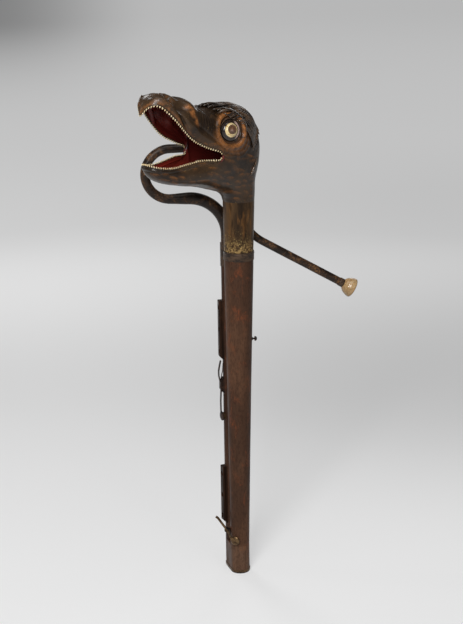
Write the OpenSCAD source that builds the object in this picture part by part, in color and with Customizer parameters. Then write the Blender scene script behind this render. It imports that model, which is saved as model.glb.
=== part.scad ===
/*
Serpent bass horn, upright form: two straight conical tubes side by side in an oblong butt,
a looped crook with a cup mouthpiece on the narrow tube, and an open-mouthed dragon head as
the bell on the wide tube. Millimetres, +Z up, origin on the foot's flat face between the tubes.
The finger side faces -X and the narrow tube stands at +Y of the wide one.
*/

/* [Tubes] */
// Height of the oblong butt box, from the floor
butt_h = 60; // [45:1:80]
// Length of the bell tube above the butt
bell_tube_len = 626; // [600:1:650]
// Outer radius of the bell tube at the butt
bell_low_r = 19.6; // [18.8:0.1:20.4]
// Outer radius of the bell tube at the head
bell_top_r = 29; // [28:0.1:30]
// Outer radius of the wing tube, the narrow one
wing_r = 13; // [12.6:0.1:13.6]
// Sheet thickness of both tubes
tube_wall = 1.2; // [0.9:0.1:1.5]
// Gap between pieces that are soldered side by side
seam = 0.15; // [0.1:0.05:0.3]
// Clearance of a push fit, on the radius
fit = 0.05; // [0.03:0.01:0.08]

/* [Butt and foot] */
// Sheet thickness of the butt box
butt_wall = 1.3; // [1.3:0.1:1.6]
// Thickness of the plate that carries the tubes
butt_plate = 2; // [1.5:0.1:3]
// Thickness of the foot cap
cap_t = 3; // [2:0.5:5]
// Height of the moulding round the foot
bead_h = 4; // [3:0.5:6]
// How far the moulding stands out
bead_out = 1; // [0.6:0.1:1.6]
// Depth of the cap's spigot inside the butt
cap_spigot = 6; // [4:1:10]

/* [Collars] */
// Height of the collar at the top of the bell tube
collar_h = 17; // [14:1:24]
// Thickness of the collar
collar_t = 1.2; // [0.9:0.1:1.6]
// Radius of the wire bead on the collar
collar_bead_r = 1.2; // [0.8:0.1:1.6]
// Height of the ferrule on the wing tube
ferrule_h = 47; // [40:1:60]
// Thickness of the ferrule over the wing tube
ferrule_t = 1.3; // [1:0.1:1.6]
// Depth to which the crook enters the ferrule
crook_in = 25; // [20:1:30]

/* [Finger blocks] */
// Width of a finger block
block_w = 15; // [13:0.5:17]
// Distance of a block's outer face from the wing tube's axis
block_reach = 20.8; // [19.5:0.1:22]
// Length of the upper block
upper_len = 122; // [116:1:126]
// Height of the upper block's lower end above the floor
upper_z = 454.5; // [454:0.5:460]
// Turn of the upper block away from the finger side
upper_turn = 18; // [12:1:22]
// Length of the lower block
lower_len = 125; // [120:1:130]
// Height of the lower block's lower end above the floor
lower_z = 99; // [97:1:102]
// Turn of the lower block away from the finger side
lower_turn = 7; // [4:1:12]
// Diameter of a finger hole
finger_d = 9; // [7:0.5:10]
// Distance from one finger hole to the next
finger_pitch = 46; // [43:0.5:48]
// Distance of the lowest hole from a block's lower end
finger_low = 16; // [14:0.5:18]

/* [Keys] */
// Outer radius of a pad cup
cup_r = 9.5; // [8.5:0.1:10]
// Thickness of the leather pad
pad_t = 2.6; // [2:0.1:3]
// Height of a tone-hole seat above the tube
seat_h = 2.4; // [2:0.1:3]
// Bore radius of a keyed tone hole
tone_r = 6; // [5:0.1:6.5]
// Diameter of a key's axle pin
axle_d = 2.4; // [2:0.1:3]
// Thickness of the key levers
lever_t = 1.8; // [1.4:0.1:2.2]
// Width of the key levers
lever_w = 5; // [4:0.1:6]
// Height of the upper key's pad above the floor
key1_pad_z = 332.5; // [330:0.5:336]
// Height of the upper key's axle above the floor
key1_axle_z = 399.5; // [398:0.5:402]
// Height of the upper key's touch end above the floor
key1_touch_z = 451; // [448:0.5:452]
// Turn of the upper key away from the finger side
key1_turn = 9; // [5:1:12]
// Height of the lower key's pad above the butt
key2_pad_h = 15; // [13:0.5:16]
// Turn of the lower key's pad from the finger side towards the front
key2_pad_turn = 35; // [33:0.5:37]
// Slant of the lower key's lever from upright
key2_tilt = 57.5; // [56:0.5:59]
// Distance along the lower lever from the pad to the axle
key2_arm = 29.4; // [29:0.1:30]
// How far the lower key's axle lies below the tube's outer face at the pad
key2_drop = 7.6; // [7:0.1:8]
// Distance along the lower lever from the axle to the touch's end
key2_reach = 35.7; // [33:0.1:37]
// Inward fall of the lower touch for each millimetre of its length
key2_slope = 0.41; // [0.38:0.01:0.43]
// Turn of the lower saddle's foot towards the tube
key2_foot_turn = 33.4; // [31:0.1:36]
// Height above the butt of the screw that holds the lower key's spring
key2_screw_h = 78; // [77:0.5:79]
// Turn of that screw from the finger side towards the wing tube
key2_screw_turn = 30; // [29:0.5:31]
// Slant of the lower key's spring from upright
key2_spring_tilt = 20.1; // [19.7:0.1:20.7]

/* [Crook] */
// Turn of the crook's plane from the +X axis
crook_turn = 22; // [20:0.5:25]
// Outer radius of the crook where it enters the ferrule
crook_big_r = 12.3; // [12:0.1:12.5]
// Outer radius of the crook round the loop in front of the jaw
crook_loop_r = 9.2; // [8.9:0.1:9.6]
// Outer radius of the crook over the loop
crook_mid_r = 8; // [7.9:0.1:8.4]
// Outer radius of the crook at the mouthpiece
crook_small_r = 7.8; // [7.6:0.1:8]
// Sheet thickness of the crook
crook_wall = 1; // [0.8:0.1:1.2]
// Bend radius of the crook above the ferrule
bend_a = 75; // [70:1:78]
// Bend radius of the loop
bend_b = 49.5; // [47:0.5:53]
// Bend radius where the crook turns down behind the head
bend_c = 60; // [56:1:64]
// Bend radius before the last straight run
bend_d = 90; // [80:1:96]
// Slope of the last straight run, in degrees below level
out_slope = 29.8; // [28.5:0.1:31]
// Slope of the run down behind the head
fall_slope = 66; // [64:0.5:68]
// Length of the last straight run to the mouthpiece
out_len = 190; // [176:1:200]

/* [Mouthpiece] */
// Outer radius of the mouthpiece rim
rim_r = 20; // [18:0.1:21]
// Inner radius of the cup at the rim
cup_in_r = 14.5; // [13:0.1:15.5]
// Length of the cup outside the crook
mouth_len = 23; // [20:0.5:26]
// Radius of the throat
throat_r = 2.6; // [2:0.1:3.2]
// Length of the shank inside the crook
shank_len = 22; // [16:1:28]

/* [Dragon head] */
// Turn of the head from the finger side
head_turn = 12; // [8:1:18]
// Height of the neck above the bell tube
neck_h = 100.5; // [98:0.5:104]
// Radius of the neck at the top
neck_top_r = 31; // [30.5:0.1:32]
// Depth of the neck's spigot in the bell tube
spigot_h = 28; // [22:1:29]
// Thickness of the sheet metal head
head_wall = 0.9; // [0.8:0.1:1.6]
// Radius of an eye's dome
eye_r = 15; // [13:0.5:16.5]
// Height of an eye's dome
eye_h = 6; // [4:0.5:7]
// Height of a tooth
tooth_h = 3.4; // [2.5:0.1:4]
// Thickness of a lock of hair, as a radius at its middle
lock_r = 9; // [8:0.1:10]
// How far the tip of a lock lifts off the skin
lock_lift = 6; // [4:0.5:8]
// Number of teeth in the upper row
upper_teeth_n = 84; // [60:1:96]
// Number of teeth in the lower row
lower_teeth_n = 78; // [56:1:90]

/* [Strap button] */
// Height of the strap button above the floor
button_z = 504; // [490:1:520]
// Radius of the button's head
button_r = 4.8; // [4.3:0.1:5.6]

/* [Hidden] */

$fn = 96;
tiny = 0.01;
paint = [0.23, 0.15, 0.11];
dark = [0.14, 0.12, 0.10];
brass = [0.66, 0.52, 0.30];
black = [0.08, 0.08, 0.08];
ivory = [0.86, 0.78, 0.60];
leather = [0.72, 0.62, 0.48];
cream = [0.93, 0.87, 0.72];

// Axes of the two tubes: the wing stands upright, the bell tube leans away so that its collar
// clears the ferrule at the top
wing_y = wing_r + seam;
ferrule_r = wing_r + ferrule_t;
collar_r = bell_top_r + collar_t;
bell_y = -(bell_low_r + seam);
bell_top_y = -(collar_r + collar_bead_r / 2 + ferrule_r + 2 * seam - wing_y);
bell_lean = atan((bell_y - bell_top_y) / bell_tube_len);
bell_top_z = butt_h + bell_tube_len;

module on_bell(h = 0) {
  translate([0, bell_y, butt_h])
    rotate([bell_lean, 0, 0])
      translate([0, 0, h])
        children();
}

// Local +X points out of the wing tube, turned away from the finger side
module on_wing(turn, z = 0) {
  translate([0, wing_y, z])
    rotate([0, 0, 180 - turn])
      children();
}

// Oblong outline round the feet of the two tubes, with its straight sides tangent to both
module oblong(grow) {
  rb = bell_low_r + grow;
  rw = wing_r + grow;
  span = wing_y - bell_y;
  lean = asin((rb - rw) / span);
  translate([0, bell_y])
    circle(rb);
  translate([0, wing_y])
    circle(rw);
  polygon([
    [rb * cos(lean), bell_y + rb * sin(lean)],
    [rw * cos(lean), wing_y + rw * sin(lean)],
    [-rw * cos(lean), wing_y + rw * sin(lean)],
    [-rb * cos(lean), bell_y + rb * sin(lean)]
  ]);
}

module butt_shell() {
  color(paint)
    difference() {
      translate([0, 0, cap_t])
        linear_extrude(butt_h - cap_t)
          oblong(0);
      translate([0, 0, cap_t - 1])
        linear_extrude(butt_h - cap_t - butt_plate + 1)
          oblong(-butt_wall);
      translate([0, bell_y, butt_h - butt_plate - 1])
        cylinder(h = butt_plate + 2, r = bell_low_r - tube_wall);
      translate([0, wing_y, butt_h - butt_plate - 1])
        cylinder(h = butt_plate + 2, r = wing_r - tube_wall);
    }
}

module butt_cap() {
  color(black)
    union() {
      linear_extrude(cap_t)
        oblong(0);
      translate([0, 0, cap_t])
        linear_extrude(cap_spigot)
          oblong(-butt_wall - fit);
    }
}

module foot_bead() {
  color(brass)
    translate([0, 0, cap_t])
      difference() {
        linear_extrude(bead_h)
          oblong(bead_out);
        translate([0, 0, -1])
          linear_extrude(bead_h + 2)
            oblong(seam);
      }
}

// Radius of the bell tube at the share t of its length: a cone with a slight flare
flare = 0.3;
function bell_r(t) = bell_low_r + (bell_top_r - bell_low_r) * ((1 - flare) * t + flare * t * t);
// The top of the tube is straight, as the socket of the neck's spigot
socket_len = spigot_h + 2;
cone_len = bell_tube_len - socket_len;
cone_steps = 6;

module bell_profile(shrink, low, high) {
  outer = [for (i = [0 : cone_steps]) [bell_r(i / cone_steps) - shrink, i / cone_steps * cone_len]];
  polygon(concat([[0, low]], [[outer[0][0], low]], outer, [[outer[cone_steps][0], high]], [[0, high]]));
}

module bell_tube() {
  color(paint)
    difference() {
      on_bell()
        rotate_extrude()
          difference() {
            bell_profile(0, -1, bell_tube_len);
            bell_profile(tube_wall, -2, bell_tube_len + 1);
          }
      translate([-2 * bell_low_r, bell_y - 2 * bell_low_r, butt_h - 10])
        cube([4 * bell_low_r, 4 * bell_low_r, 10]);
      key2_frame()
        translate([bell_low_r / 2, 0, 0])
          rotate([0, 90, 0])
            cylinder(h = bell_low_r, r = tone_r);
    }
}

wing_len = bell_top_z + 8 - crook_in - butt_h;
ferrule_top = butt_h + wing_len + crook_in;

module finger_holes(z0, r, from, to) {
  for (i = [0 : 2])
    translate([from, 0, z0 + finger_low + i * finger_pitch])
      rotate([0, 90, 0])
        cylinder(h = to - from, r = r);
}

module wing_tube() {
  color(paint)
    difference() {
      translate([0, wing_y, butt_h])
        difference() {
          cylinder(h = wing_len, r = wing_r);
          translate([0, 0, -1])
            cylinder(h = wing_len + 2, r = wing_r - tube_wall);
        }
      on_wing(upper_turn)
        finger_holes(upper_z, finger_d / 2, wing_r / 2, block_reach);
      on_wing(lower_turn)
        finger_holes(lower_z, finger_d / 2, wing_r / 2, block_reach);
      on_wing(key1_turn, key1_pad_z)
        translate([wing_r / 2, 0, 0])
          rotate([0, 90, 0])
            cylinder(h = wing_r, r = tone_r);
    }
}

module bell_collar() {
  color(dark)
    on_bell(bell_tube_len - collar_h)
      difference() {
        union() {
          cylinder(h = collar_h, r = collar_r);
          translate([0, 0, collar_h - 3 * collar_bead_r])
            rotate_extrude()
              translate([collar_r - collar_bead_r / 2, 0])
                circle(collar_bead_r, $fn = 24);
        }
        translate([0, 0, -1])
          cylinder(h = collar_h + 2, r = bell_top_r + tiny);
      }
}

module wing_ferrule() {
  color(dark)
    translate([0, wing_y, ferrule_top - ferrule_h])
      difference() {
        cylinder(h = ferrule_h, r = ferrule_r);
        translate([0, 0, -1])
          cylinder(h = ferrule_h - crook_in + 1, r = wing_r + tiny);
        translate([0, 0, ferrule_h - crook_in - 1])
          cylinder(h = crook_in + 2, r = crook_big_r + fit);
      }
}

// Cross-section of a finger block: a flat face with bevelled edges, hollowed to sit on the tube
block_bevel = 1.6;
module finger_block(len, z0, turn) {
  slope = 9;
  foot = wing_r * 0.62;
  color(dark)
    on_wing(turn)
      difference() {
        translate([0, 0, z0])
          linear_extrude(len)
            polygon([
              [foot, -block_w / 2],
              [block_reach - block_bevel, -block_w / 2],
              [block_reach, -block_w / 2 + block_bevel],
              [block_reach, block_w / 2 - block_bevel],
              [block_reach - block_bevel, block_w / 2],
              [foot, block_w / 2]
            ]);
        cylinder(h = 2 * bell_tube_len, r = wing_r + tiny);
        translate([block_reach, -block_w, z0])
          rotate([0, 45, 0])
            translate([-slope / 2, 0, -slope / 2])
              cube([slope, 2 * block_w, slope]);
        finger_holes(z0, finger_d / 2, wing_r / 2, block_reach + 1);
        for (i = [0 : 2])
          translate([block_reach - 1, 0, z0 + finger_low + i * finger_pitch])
            rotate([0, 90, 0])
              cylinder(h = 1 + tiny, r1 = finger_d / 2, r2 = finger_d / 2 + 1);
      }
}

module upper_block() { finger_block(upper_len, upper_z, upper_turn); }
module lower_block() { finger_block(lower_len, lower_z, lower_turn); }

// Keys. A key's own frame has +X out of the tube, +Z along the lever towards the touch, and its
// origin on the tube's axis at the height of the pad.
key1_arm = key1_axle_z - key1_pad_z;
key1_reach = key1_touch_z - key1_pad_z;
axle_out = 17.6;
cup_wall = 1.2;
pad_r = cup_r - cup_wall - fit;

// Blank of the flat ring under a pad, on a tube of radius r; it is hollowed to sit on the tube
seat_in = 4;
seat_rim = 1.6;
module seat_blank(r) {
  translate([r - seat_in, 0, 0])
    rotate([0, 90, 0])
      difference() {
        cylinder(h = seat_h + seat_in, r = tone_r + seat_rim);
        translate([0, 0, -1])
          cylinder(h = seat_h + seat_in + 2, r = tone_r);
      }
}

// Leather pad that closes on the seat
module key_pad(r) {
  translate([r + seat_h + seam, 0, 0])
    rotate([0, 90, 0])
      cylinder(h = pad_t, r = pad_r);
}

// Round cup that holds the pad, domed outside
module pad_cup(r) {
  base = r + seat_h + seam + pad_t * 0.4;
  floor_in = r + seat_h + seam + pad_t + fit;
  translate([base, 0, 0])
    rotate([0, 90, 0])
      difference() {
        rotate_extrude()
          polygon([
            [0, 0],
            [cup_r, 0],
            [cup_r, floor_in - base],
            [cup_r * 0.86, floor_in - base + cup_wall * 0.9],
            [cup_r * 0.5, floor_in - base + cup_wall * 1.5],
            [0, floor_in - base + cup_wall * 1.7]
          ]);
        translate([0, 0, -1])
          cylinder(h = floor_in - base + 1, r = pad_r + fit);
      }
}

// Lever arm: a bar of the side profile pts, with width w
module key_bar(pts, w) {
  translate([0, w / 2, 0])
    rotate([90, 0, 0])
      linear_extrude(w)
        polygon(pts);
}

// Offset profile of a line of [out, along] points into a bar of thickness t
function bar_profile(line, t) =
  concat(line, [for (i = [len(line) - 1 : -1 : 0]) [line[i][0] + t, line[i][1]]]);

// Slab between the planes y = from and y = from + w, with the side profile pts
module cheek_plate(pts, from, w) {
  translate([0, from + w, 0])
    rotate([90, 0, 0])
      linear_extrude(w)
        polygon(pts);
}

// Two cheeks and the block between their feet, with the axle's bore at the place "at", as
// [out, along]; both profiles run into the tube and are cut to its surface
cheek_t = 1.4;
cheek_gap = lever_w + 0.6;
module saddle_blank(cheek, block, at) {
  half = cheek_gap / 2;
  difference() {
    union() {
      cheek_plate(cheek, -half - cheek_t, cheek_t);
      cheek_plate(cheek, half, cheek_t);
      cheek_plate(block, -half - cheek_t / 2, cheek_gap + cheek_t);
    }
    translate([at[0], 2 * lever_w, at[1]])
      rotate([90, 0, 0])
        cylinder(h = 4 * lever_w, r = axle_d / 2);
  }
}

axle_head = 0.6;
module axle(at) {
  half = cheek_gap / 2 + cheek_t + axle_head;
  translate([at[0], half, at[1]])
    rotate([90, 0, 0])
      cylinder(h = 2 * half, r = axle_d / 2);
}

// Lever with its pad cup at the start of the line and a bored boss on the axle
boss_t = 1.3;
module key_lever(r, at, line) {
  difference() {
    union() {
      pad_cup(r);
      key_bar(bar_profile(line, lever_t), lever_w);
      translate([at[0], lever_w / 2, at[1]])
        rotate([90, 0, 0])
          cylinder(h = lever_w, r = axle_d / 2 + boss_t);
    }
    translate([at[0], lever_w, at[1]])
      rotate([90, 0, 0])
        cylinder(h = 2 * lever_w, r = axle_d / 2 + fit);
  }
}

module key1_frame() { on_wing(key1_turn, key1_pad_z) children(); }

cup_top = wing_r + seat_h + seam + pad_t + fit;
key1_line = [
  [cup_top + 0.4, -cup_r * 0.4],
  [cup_top + 0.4, cup_r * 0.8],
  [cup_top + 0.6, key1_arm * 0.5],
  [axle_out - lever_t / 2 + 0.8, key1_arm - 10],
  [axle_out - lever_t / 2 + 1.2, key1_arm],
  [axle_out + 2.2, key1_arm + 9],
  [axle_out + 4.4, key1_arm + 20],
  [axle_out + 4.6, key1_arm + 30],
  [axle_out + 2.6, key1_arm + 41],
  [axle_out, key1_reach]
];

key1_at = [axle_out, key1_arm];
key1_saddle_len = 33;
saddle_in = 2;
key1_cheek = [
  [wing_r - saddle_in, key1_arm - key1_saddle_len / 2],
  [wing_r + saddle_in, key1_arm - key1_saddle_len / 2],
  [axle_out + axle_d + 0.6, key1_arm - key1_saddle_len / 4],
  [axle_out + axle_d + 0.6, key1_arm + key1_saddle_len / 4],
  [wing_r + saddle_in, key1_arm + key1_saddle_len / 2],
  [wing_r - saddle_in, key1_arm + key1_saddle_len / 2]
];
key1_block = [
  [wing_r - saddle_in, key1_arm - key1_saddle_len / 2],
  [wing_r + saddle_in / 2, key1_arm - key1_saddle_len / 2],
  [wing_r + saddle_in / 2, key1_arm + key1_saddle_len / 2],
  [wing_r - saddle_in, key1_arm + key1_saddle_len / 2]
];
module cut_to_wing() {
  difference() {
    children();
    translate([0, wing_y, butt_h])
      cylinder(h = wing_len, r = wing_r + tiny);
  }
}
module cut_to_bell() {
  difference() {
    children();
    on_bell()
      rotate_extrude()
        bell_profile(-tiny, 0, bell_tube_len);
  }
}

module key1_seat() { color(brass) cut_to_wing() key1_frame() seat_blank(wing_r); }
module key1_saddle() { color(dark) cut_to_wing() key1_frame() saddle_blank(key1_cheek, key1_block, key1_at); }
module key1_axle() { color(brass) key1_frame() axle(key1_at); }
module key1_lever() { color(dark) key1_frame() key_lever(wing_r, key1_at, key1_line); }
module key1_pad() { color(leather) key1_frame() key_pad(wing_r); }
spring_t = 0.5;
module key1_spring() {
  color(brass)
    key1_frame()
      key_bar(bar_profile([
        [wing_r + seam, key1_reach - 6],
        [wing_r + 1.4, key1_reach - 22],
        [axle_out + 0.5, key1_arm + 14]
      ], spring_t), lever_w * 0.7);
}

// Lower key: a lever across the finger side, from its pad on the bell tube up to the touch beyond
// the wing tube. Its frame has +X out of the bell tube at the pad and +Z along the lever.
key2_r = bell_r(key2_pad_h / cone_len);
key2_cup_top = key2_r + seat_h + seam + pad_t + fit;
key2_at = [key2_r - key2_drop, key2_arm];
key2_line = [
  [key2_cup_top + 0.2, -cup_r * 0.4],
  [key2_cup_top + 0.2, cup_r + 0.3],
  [key2_at[0] - lever_t / 2 + 1.8, key2_arm - 4],
  [key2_at[0] - lever_t / 2, key2_arm],
  [key2_at[0] - lever_t / 2 - key2_slope * 30, key2_arm + 30],
  [key2_at[0] - lever_t / 2 - key2_slope * 30 + 0.6, key2_arm + key2_reach]
];
// Directions from the axle to the tube and across, in the lever's plane
key2_down = [-sin(key2_foot_turn), -cos(key2_foot_turn)];
key2_side = [cos(key2_foot_turn), -sin(key2_foot_turn)];
// Half widths of the cheeks at the axle and at the foot, and of the block between them
key2_ear = 3;
key2_ear_up = 2.8;
key2_foot = 6.5;
key2_foot_down = 18;
key2_block_half = 4.2;
key2_block_down = 5;
key2_cheek = [
  key2_at - key2_ear_up * key2_down - key2_ear * key2_side,
  key2_at - key2_ear_up * key2_down + key2_ear * key2_side,
  key2_at + key2_foot_down * key2_down + key2_foot * key2_side,
  key2_at + key2_foot_down * key2_down - key2_foot * key2_side
];
key2_block = [
  key2_at + key2_block_down * key2_down - key2_block_half * key2_side,
  key2_at + key2_block_down * key2_down + key2_block_half * key2_side,
  key2_at + key2_foot_down * key2_down + key2_foot * key2_side,
  key2_at + key2_foot_down * key2_down - key2_foot * key2_side
];
module key2_frame() {
  on_bell(key2_pad_h)
    rotate([0, 0, 180 + key2_pad_turn])
      rotate([key2_tilt, 0, 0])
        children();
}
module key2_seat() { color(brass) cut_to_bell() key2_frame() seat_blank(key2_r); }
module key2_saddle() { color(dark) cut_to_bell() key2_frame() saddle_blank(key2_cheek, key2_block, key2_at); }
module key2_axle() { color(brass) key2_frame() axle(key2_at); }
module key2_lever() { color(dark) key2_frame() key_lever(key2_r, key2_at, key2_line); }
module key2_pad() { color(leather) key2_frame() key_pad(key2_r); }

// Flat spring of the lower key: screwed on the bell tube above, it presses on the lever by the pad
spring_w = 3;
spring_len = 60.6;
spring_lift = 0.7;
module key2_spring_frame() {
  on_bell(key2_screw_h)
    rotate([0, 0, 180 - key2_screw_turn])
      translate([bell_r(key2_screw_h / cone_len), 0, 0])
        rotate([key2_spring_tilt, 0, 0])
          children();
}
screw_r = 2;
module key2_spring() {
  color(brass)
    key2_spring_frame()
      difference() {
        key_bar(bar_profile([
          [2 * seam, 3],
          [2 * seam, -5],
          [2.2, -22],
          [1.8, -42],
          [-spring_lift, -spring_len]
        ], spring_t), spring_w);
        rotate([0, 90, 0])
          cylinder(h = 2 * screw_r, r = screw_r * 0.45 + fit);
      }
}
module key2_spring_screw() {
  color(brass)
    key2_spring_frame()
      rotate([0, 90, 0]) {
        translate([0, 0, 3 * seam + spring_t])
          cylinder(h = 1, r1 = screw_r, r2 = screw_r * 0.7);
        translate([0, 0, seam])
          cylinder(h = 1, r = screw_r * 0.45);
      }
}

button_in = 1;
module strap_button() {
  color(black)
    cut_to_bell()
      on_bell(button_z - butt_h)
        rotate([0, 0, -crook_turn])
          translate([bell_r((button_z - butt_h) / cone_len) - button_in, 0, 0])
            rotate([0, 90, 0])
              rotate_extrude()
                polygon([
                  [0, 0],
                  [button_r * 0.77, 0],
                  [button_r * 0.77, button_in + 0.8],
                  [button_r * 0.4, button_in + 1.8],
                  [button_r * 0.37, button_in + 4.6],
                  [button_r, button_in + 5.6],
                  [button_r, button_in + 8],
                  [button_r * 0.6, button_in + 9.6],
                  [0, button_in + 10.2]
                ]);
}

// Crook. Its centreline lies in one upright plane through the wing tube's axis and is given as
// [out, up] there. The heading of a run is in degrees above the +X direction of that plane.
crook_rise = 17;
loop_run = 35;
top_run = 38.3;
fall_len = 125.5;
bend_a_c = [-bend_a, ferrule_top + crook_rise];
bend_b_c = [-bend_a - loop_run, bend_a_c[1] + bend_a + bend_b];
bend_c_c = [bend_b_c[0] + top_run, bend_b_c[1] + bend_b - bend_c];
fall_from = bend_c_c + bend_c * [sin(fall_slope), cos(fall_slope)];
fall_to = fall_from + fall_len * [cos(fall_slope), -sin(fall_slope)];
bend_d_c = fall_to + bend_d * [sin(fall_slope), cos(fall_slope)];
out_from = bend_d_c - bend_d * [sin(out_slope), cos(out_slope)];
out_to = out_from + out_len * [cos(out_slope), -sin(out_slope)];

module crook_frame() {
  translate([0, wing_y, 0])
    rotate([0, 0, -crook_turn])
      children();
}

// Stations along the centreline, as [out, up, heading, radius], for a bend and for a run's start
crook_step = 12;
end_collar_len = 9.5;
end_collar_cover = 4;
end_collar_t = 1;
shank_r = 6.2;
function bend_stations(c, bend, h0, h1, r0, r1, turn) =
  let (n = ceil(abs(h1 - h0) / crook_step))
  [for (i = [0 : n])
    let (t = i / n, h = h0 + (h1 - h0) * t)
    [c[0] + turn * bend * sin(h), c[1] - turn * bend * cos(h), h, r0 + (r1 - r0) * t]];
tenon_top = ferrule_top + crook_rise * 0.5;
crook_tip = end_collar_len - end_collar_cover;
crook_stations = concat(
  [[0, tenon_top, 90, crook_big_r]],
  bend_stations(bend_a_c, bend_a, 90, 180, crook_big_r, crook_big_r * 0.98, 1),
  bend_stations(bend_b_c, bend_b, 180, 0, crook_loop_r + 0.4, crook_loop_r - 0.4, -1),
  bend_stations(bend_c_c, bend_c, 0, -fall_slope, crook_mid_r, crook_mid_r, -1),
  bend_stations(bend_d_c, bend_d, -fall_slope, -out_slope, crook_mid_r, crook_mid_r * 0.98, 1),
  [[
    out_to[0] - crook_tip * cos(out_slope), out_to[1] + crook_tip * sin(out_slope), -out_slope, crook_small_r
  ]]
);
crook_sides = 14;
function crook_ring(p, r) =
  [for (i = [0 : crook_sides - 1])
    let (a = 360 * i / crook_sides)
    [p[0] - r * cos(a) * sin(p[2]), r * sin(a), p[1] + r * cos(a) * cos(p[2])]];

// Faces between ring k and ring k + 1 of n points each, from point base on
function band(base, k, n, out) =
  [for (j = [0 : n - 1])
    let (a = base + k * n + j, b = base + k * n + (j + 1) % n, c = b + n, d = a + n)
    each (out ? [[a, b, c], [a, c, d]] : [[a, c, b], [a, d, c]])];
// Faces of the flat rim between the outer ring at a and the inner ring at b
function rim(a, b, n, out) =
  [for (j = [0 : n - 1])
    let (k = (j + 1) % n)
    each (out
      ? [[a + j, a + k, b + k], [a + j, b + k, b + j]]
      : [[a + j, b + k, a + k], [a + j, b + j, b + k]])];

module crook() {
  last = len(crook_stations) - 1;
  count = (last + 1) * crook_sides;
  outer = [for (p = crook_stations) each crook_ring(p, p[3])];
  inner = [for (p = crook_stations) each crook_ring(p, p[3] - crook_wall)];
  faces = concat(
    [for (k = [0 : last - 1]) each band(0, k, crook_sides, true)],
    [for (k = [0 : last - 1]) each band(count, k, crook_sides, false)],
    rim(0, count, crook_sides, false),
    rim(last * crook_sides, count + last * crook_sides, crook_sides, true)
  );
  color(dark)
    crook_frame()
      polyhedron(concat(outer, inner), faces);
}

// Straight sleeve on the crook's lower end, which turns in the ferrule
module crook_tenon() {
  color(dark)
    crook_frame()
      translate([0, 0, crook_foot])
        difference() {
          cylinder(h = tenon_top - crook_foot, r = crook_big_r);
          translate([0, 0, -1])
            cylinder(h = tenon_top - crook_foot + 2, r = crook_big_r - crook_wall);
        }
}

crook_foot = ferrule_top - crook_in + 2 * seam;

// Frame at the crook's mouthpiece end, with +Z along the tube
module crook_end(back = 0) {
  crook_frame()
    translate([out_to[0], 0, out_to[1]])
      rotate([0, 90 + out_slope, 0])
        translate([0, 0, -back])
          children();
}

// Socket ring on the crook's end: its back half covers the tube, its front half holds the shank
module crook_collar() {
  color(dark)
    crook_end(end_collar_len)
      difference() {
        rotate_extrude()
          polygon([
            [0, 0],
            [crook_small_r + end_collar_t * 0.6, 0],
            [crook_small_r + end_collar_t, 1],
            [crook_small_r + end_collar_t, end_collar_len - 1],
            [crook_small_r + end_collar_t * 0.6, end_collar_len],
            [0, end_collar_len]
          ]);
        translate([0, 0, -1])
          cylinder(h = end_collar_cover + 1, r = crook_small_r + fit);
        translate([0, 0, -1])
          cylinder(h = end_collar_len + 2, r = shank_r + fit);
      }
}

// Cup mouthpiece turned in one piece with its shank
module mouthpiece() {
  rise = seam;
  color(ivory)
    crook_end()
      difference() {
        union() {
          rotate_extrude()
            polygon([
              [0, rise],
              [shank_r + 2.4, rise],
              [rim_r * 0.62, mouth_len * 0.14],
              [rim_r * 0.78, mouth_len * 0.32],
              [rim_r * 0.91, mouth_len * 0.56],
              [rim_r * 0.98, mouth_len * 0.78],
              [rim_r, mouth_len * 0.88],
              [rim_r * 0.985, mouth_len * 0.95],
              [rim_r * 0.94, mouth_len * 0.99],
              [rim_r * 0.88, mouth_len],
              [0, mouth_len]
            ]);
          translate([0, 0, -shank_len])
            cylinder(h = shank_len + 1, r = shank_r);
        }
        rotate_extrude()
          polygon([
            [0, mouth_len * 0.2],
            [throat_r, mouth_len * 0.22],
            [cup_in_r * 0.6, mouth_len * 0.36],
            [cup_in_r * 0.85, mouth_len * 0.56],
            [cup_in_r * 0.96, mouth_len * 0.76],
            [cup_in_r, mouth_len * 0.92],
            [cup_in_r + 1.2, mouth_len + 0.1],
            [0, mouth_len + 0.1]
          ]);
        translate([0, 0, -shank_len - 1])
          cylinder(h = shank_len + mouth_len * 0.5, r = throat_r);
      }
}

// Neck: a conical tube that stands on the bell tube and turns in it on its spigot
neck_wall = 1.2;
module neck() {
  foot = 2 * seam;
  spigot_r = bell_top_r - tube_wall - fit;
  color(dark)
    on_bell(bell_tube_len)
      difference() {
        union() {
          translate([0, 0, foot])
            cylinder(h = neck_h - foot, r1 = bell_top_r - 0.1, r2 = neck_top_r);
          translate([0, 0, -spigot_h])
            cylinder(h = spigot_h + 2, r = spigot_r);
        }
        translate([0, 0, -spigot_h - 1])
          cylinder(h = spigot_h + 4, r = spigot_r - neck_wall);
        translate([0, 0, 3 - tiny])
          cylinder(h = neck_h - 2, r1 = spigot_r - neck_wall, r2 = neck_top_r - neck_wall);
      }
}

// Dragon head. Its own frame has +X forward, +Y to its left and +Z up, with the origin on the
// axis at the top of the neck. The skin is a tube that opens from the neck's circle to the lips:
// four lines run along the crown, the throat and the two cheeks, rings join them, and the last
// ring is the line of the lips. Each line is a short list of [forward, up] or [forward, out, up].
crown_line = [
  [-neck_top_r, 0], [-33.5, 45], [-42, 88], [-43, 132], [-24, 172], [28, 194],
  [88, 188], [142, 202], [190, 214], [230, 207], [243, 183]
];
throat_line = [
  [neck_top_r, 0], [36, 10], [50, 20], [72, 27], [98, 34], [128, 41],
  [160, 47], [192, 55], [216, 67], [229, 82], [231, 95]
];
cheek_line = [
  [0, neck_top_r, 0], [3, 33.5, 22], [8, 39.5, 44], [15, 46, 63], [24, 51, 79], [35, 55, 89],
  [47, 57, 95], [60, 57, 98], [72, 56.5, 100], [81, 56, 101.5], [88, 55, 103]
];
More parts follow.
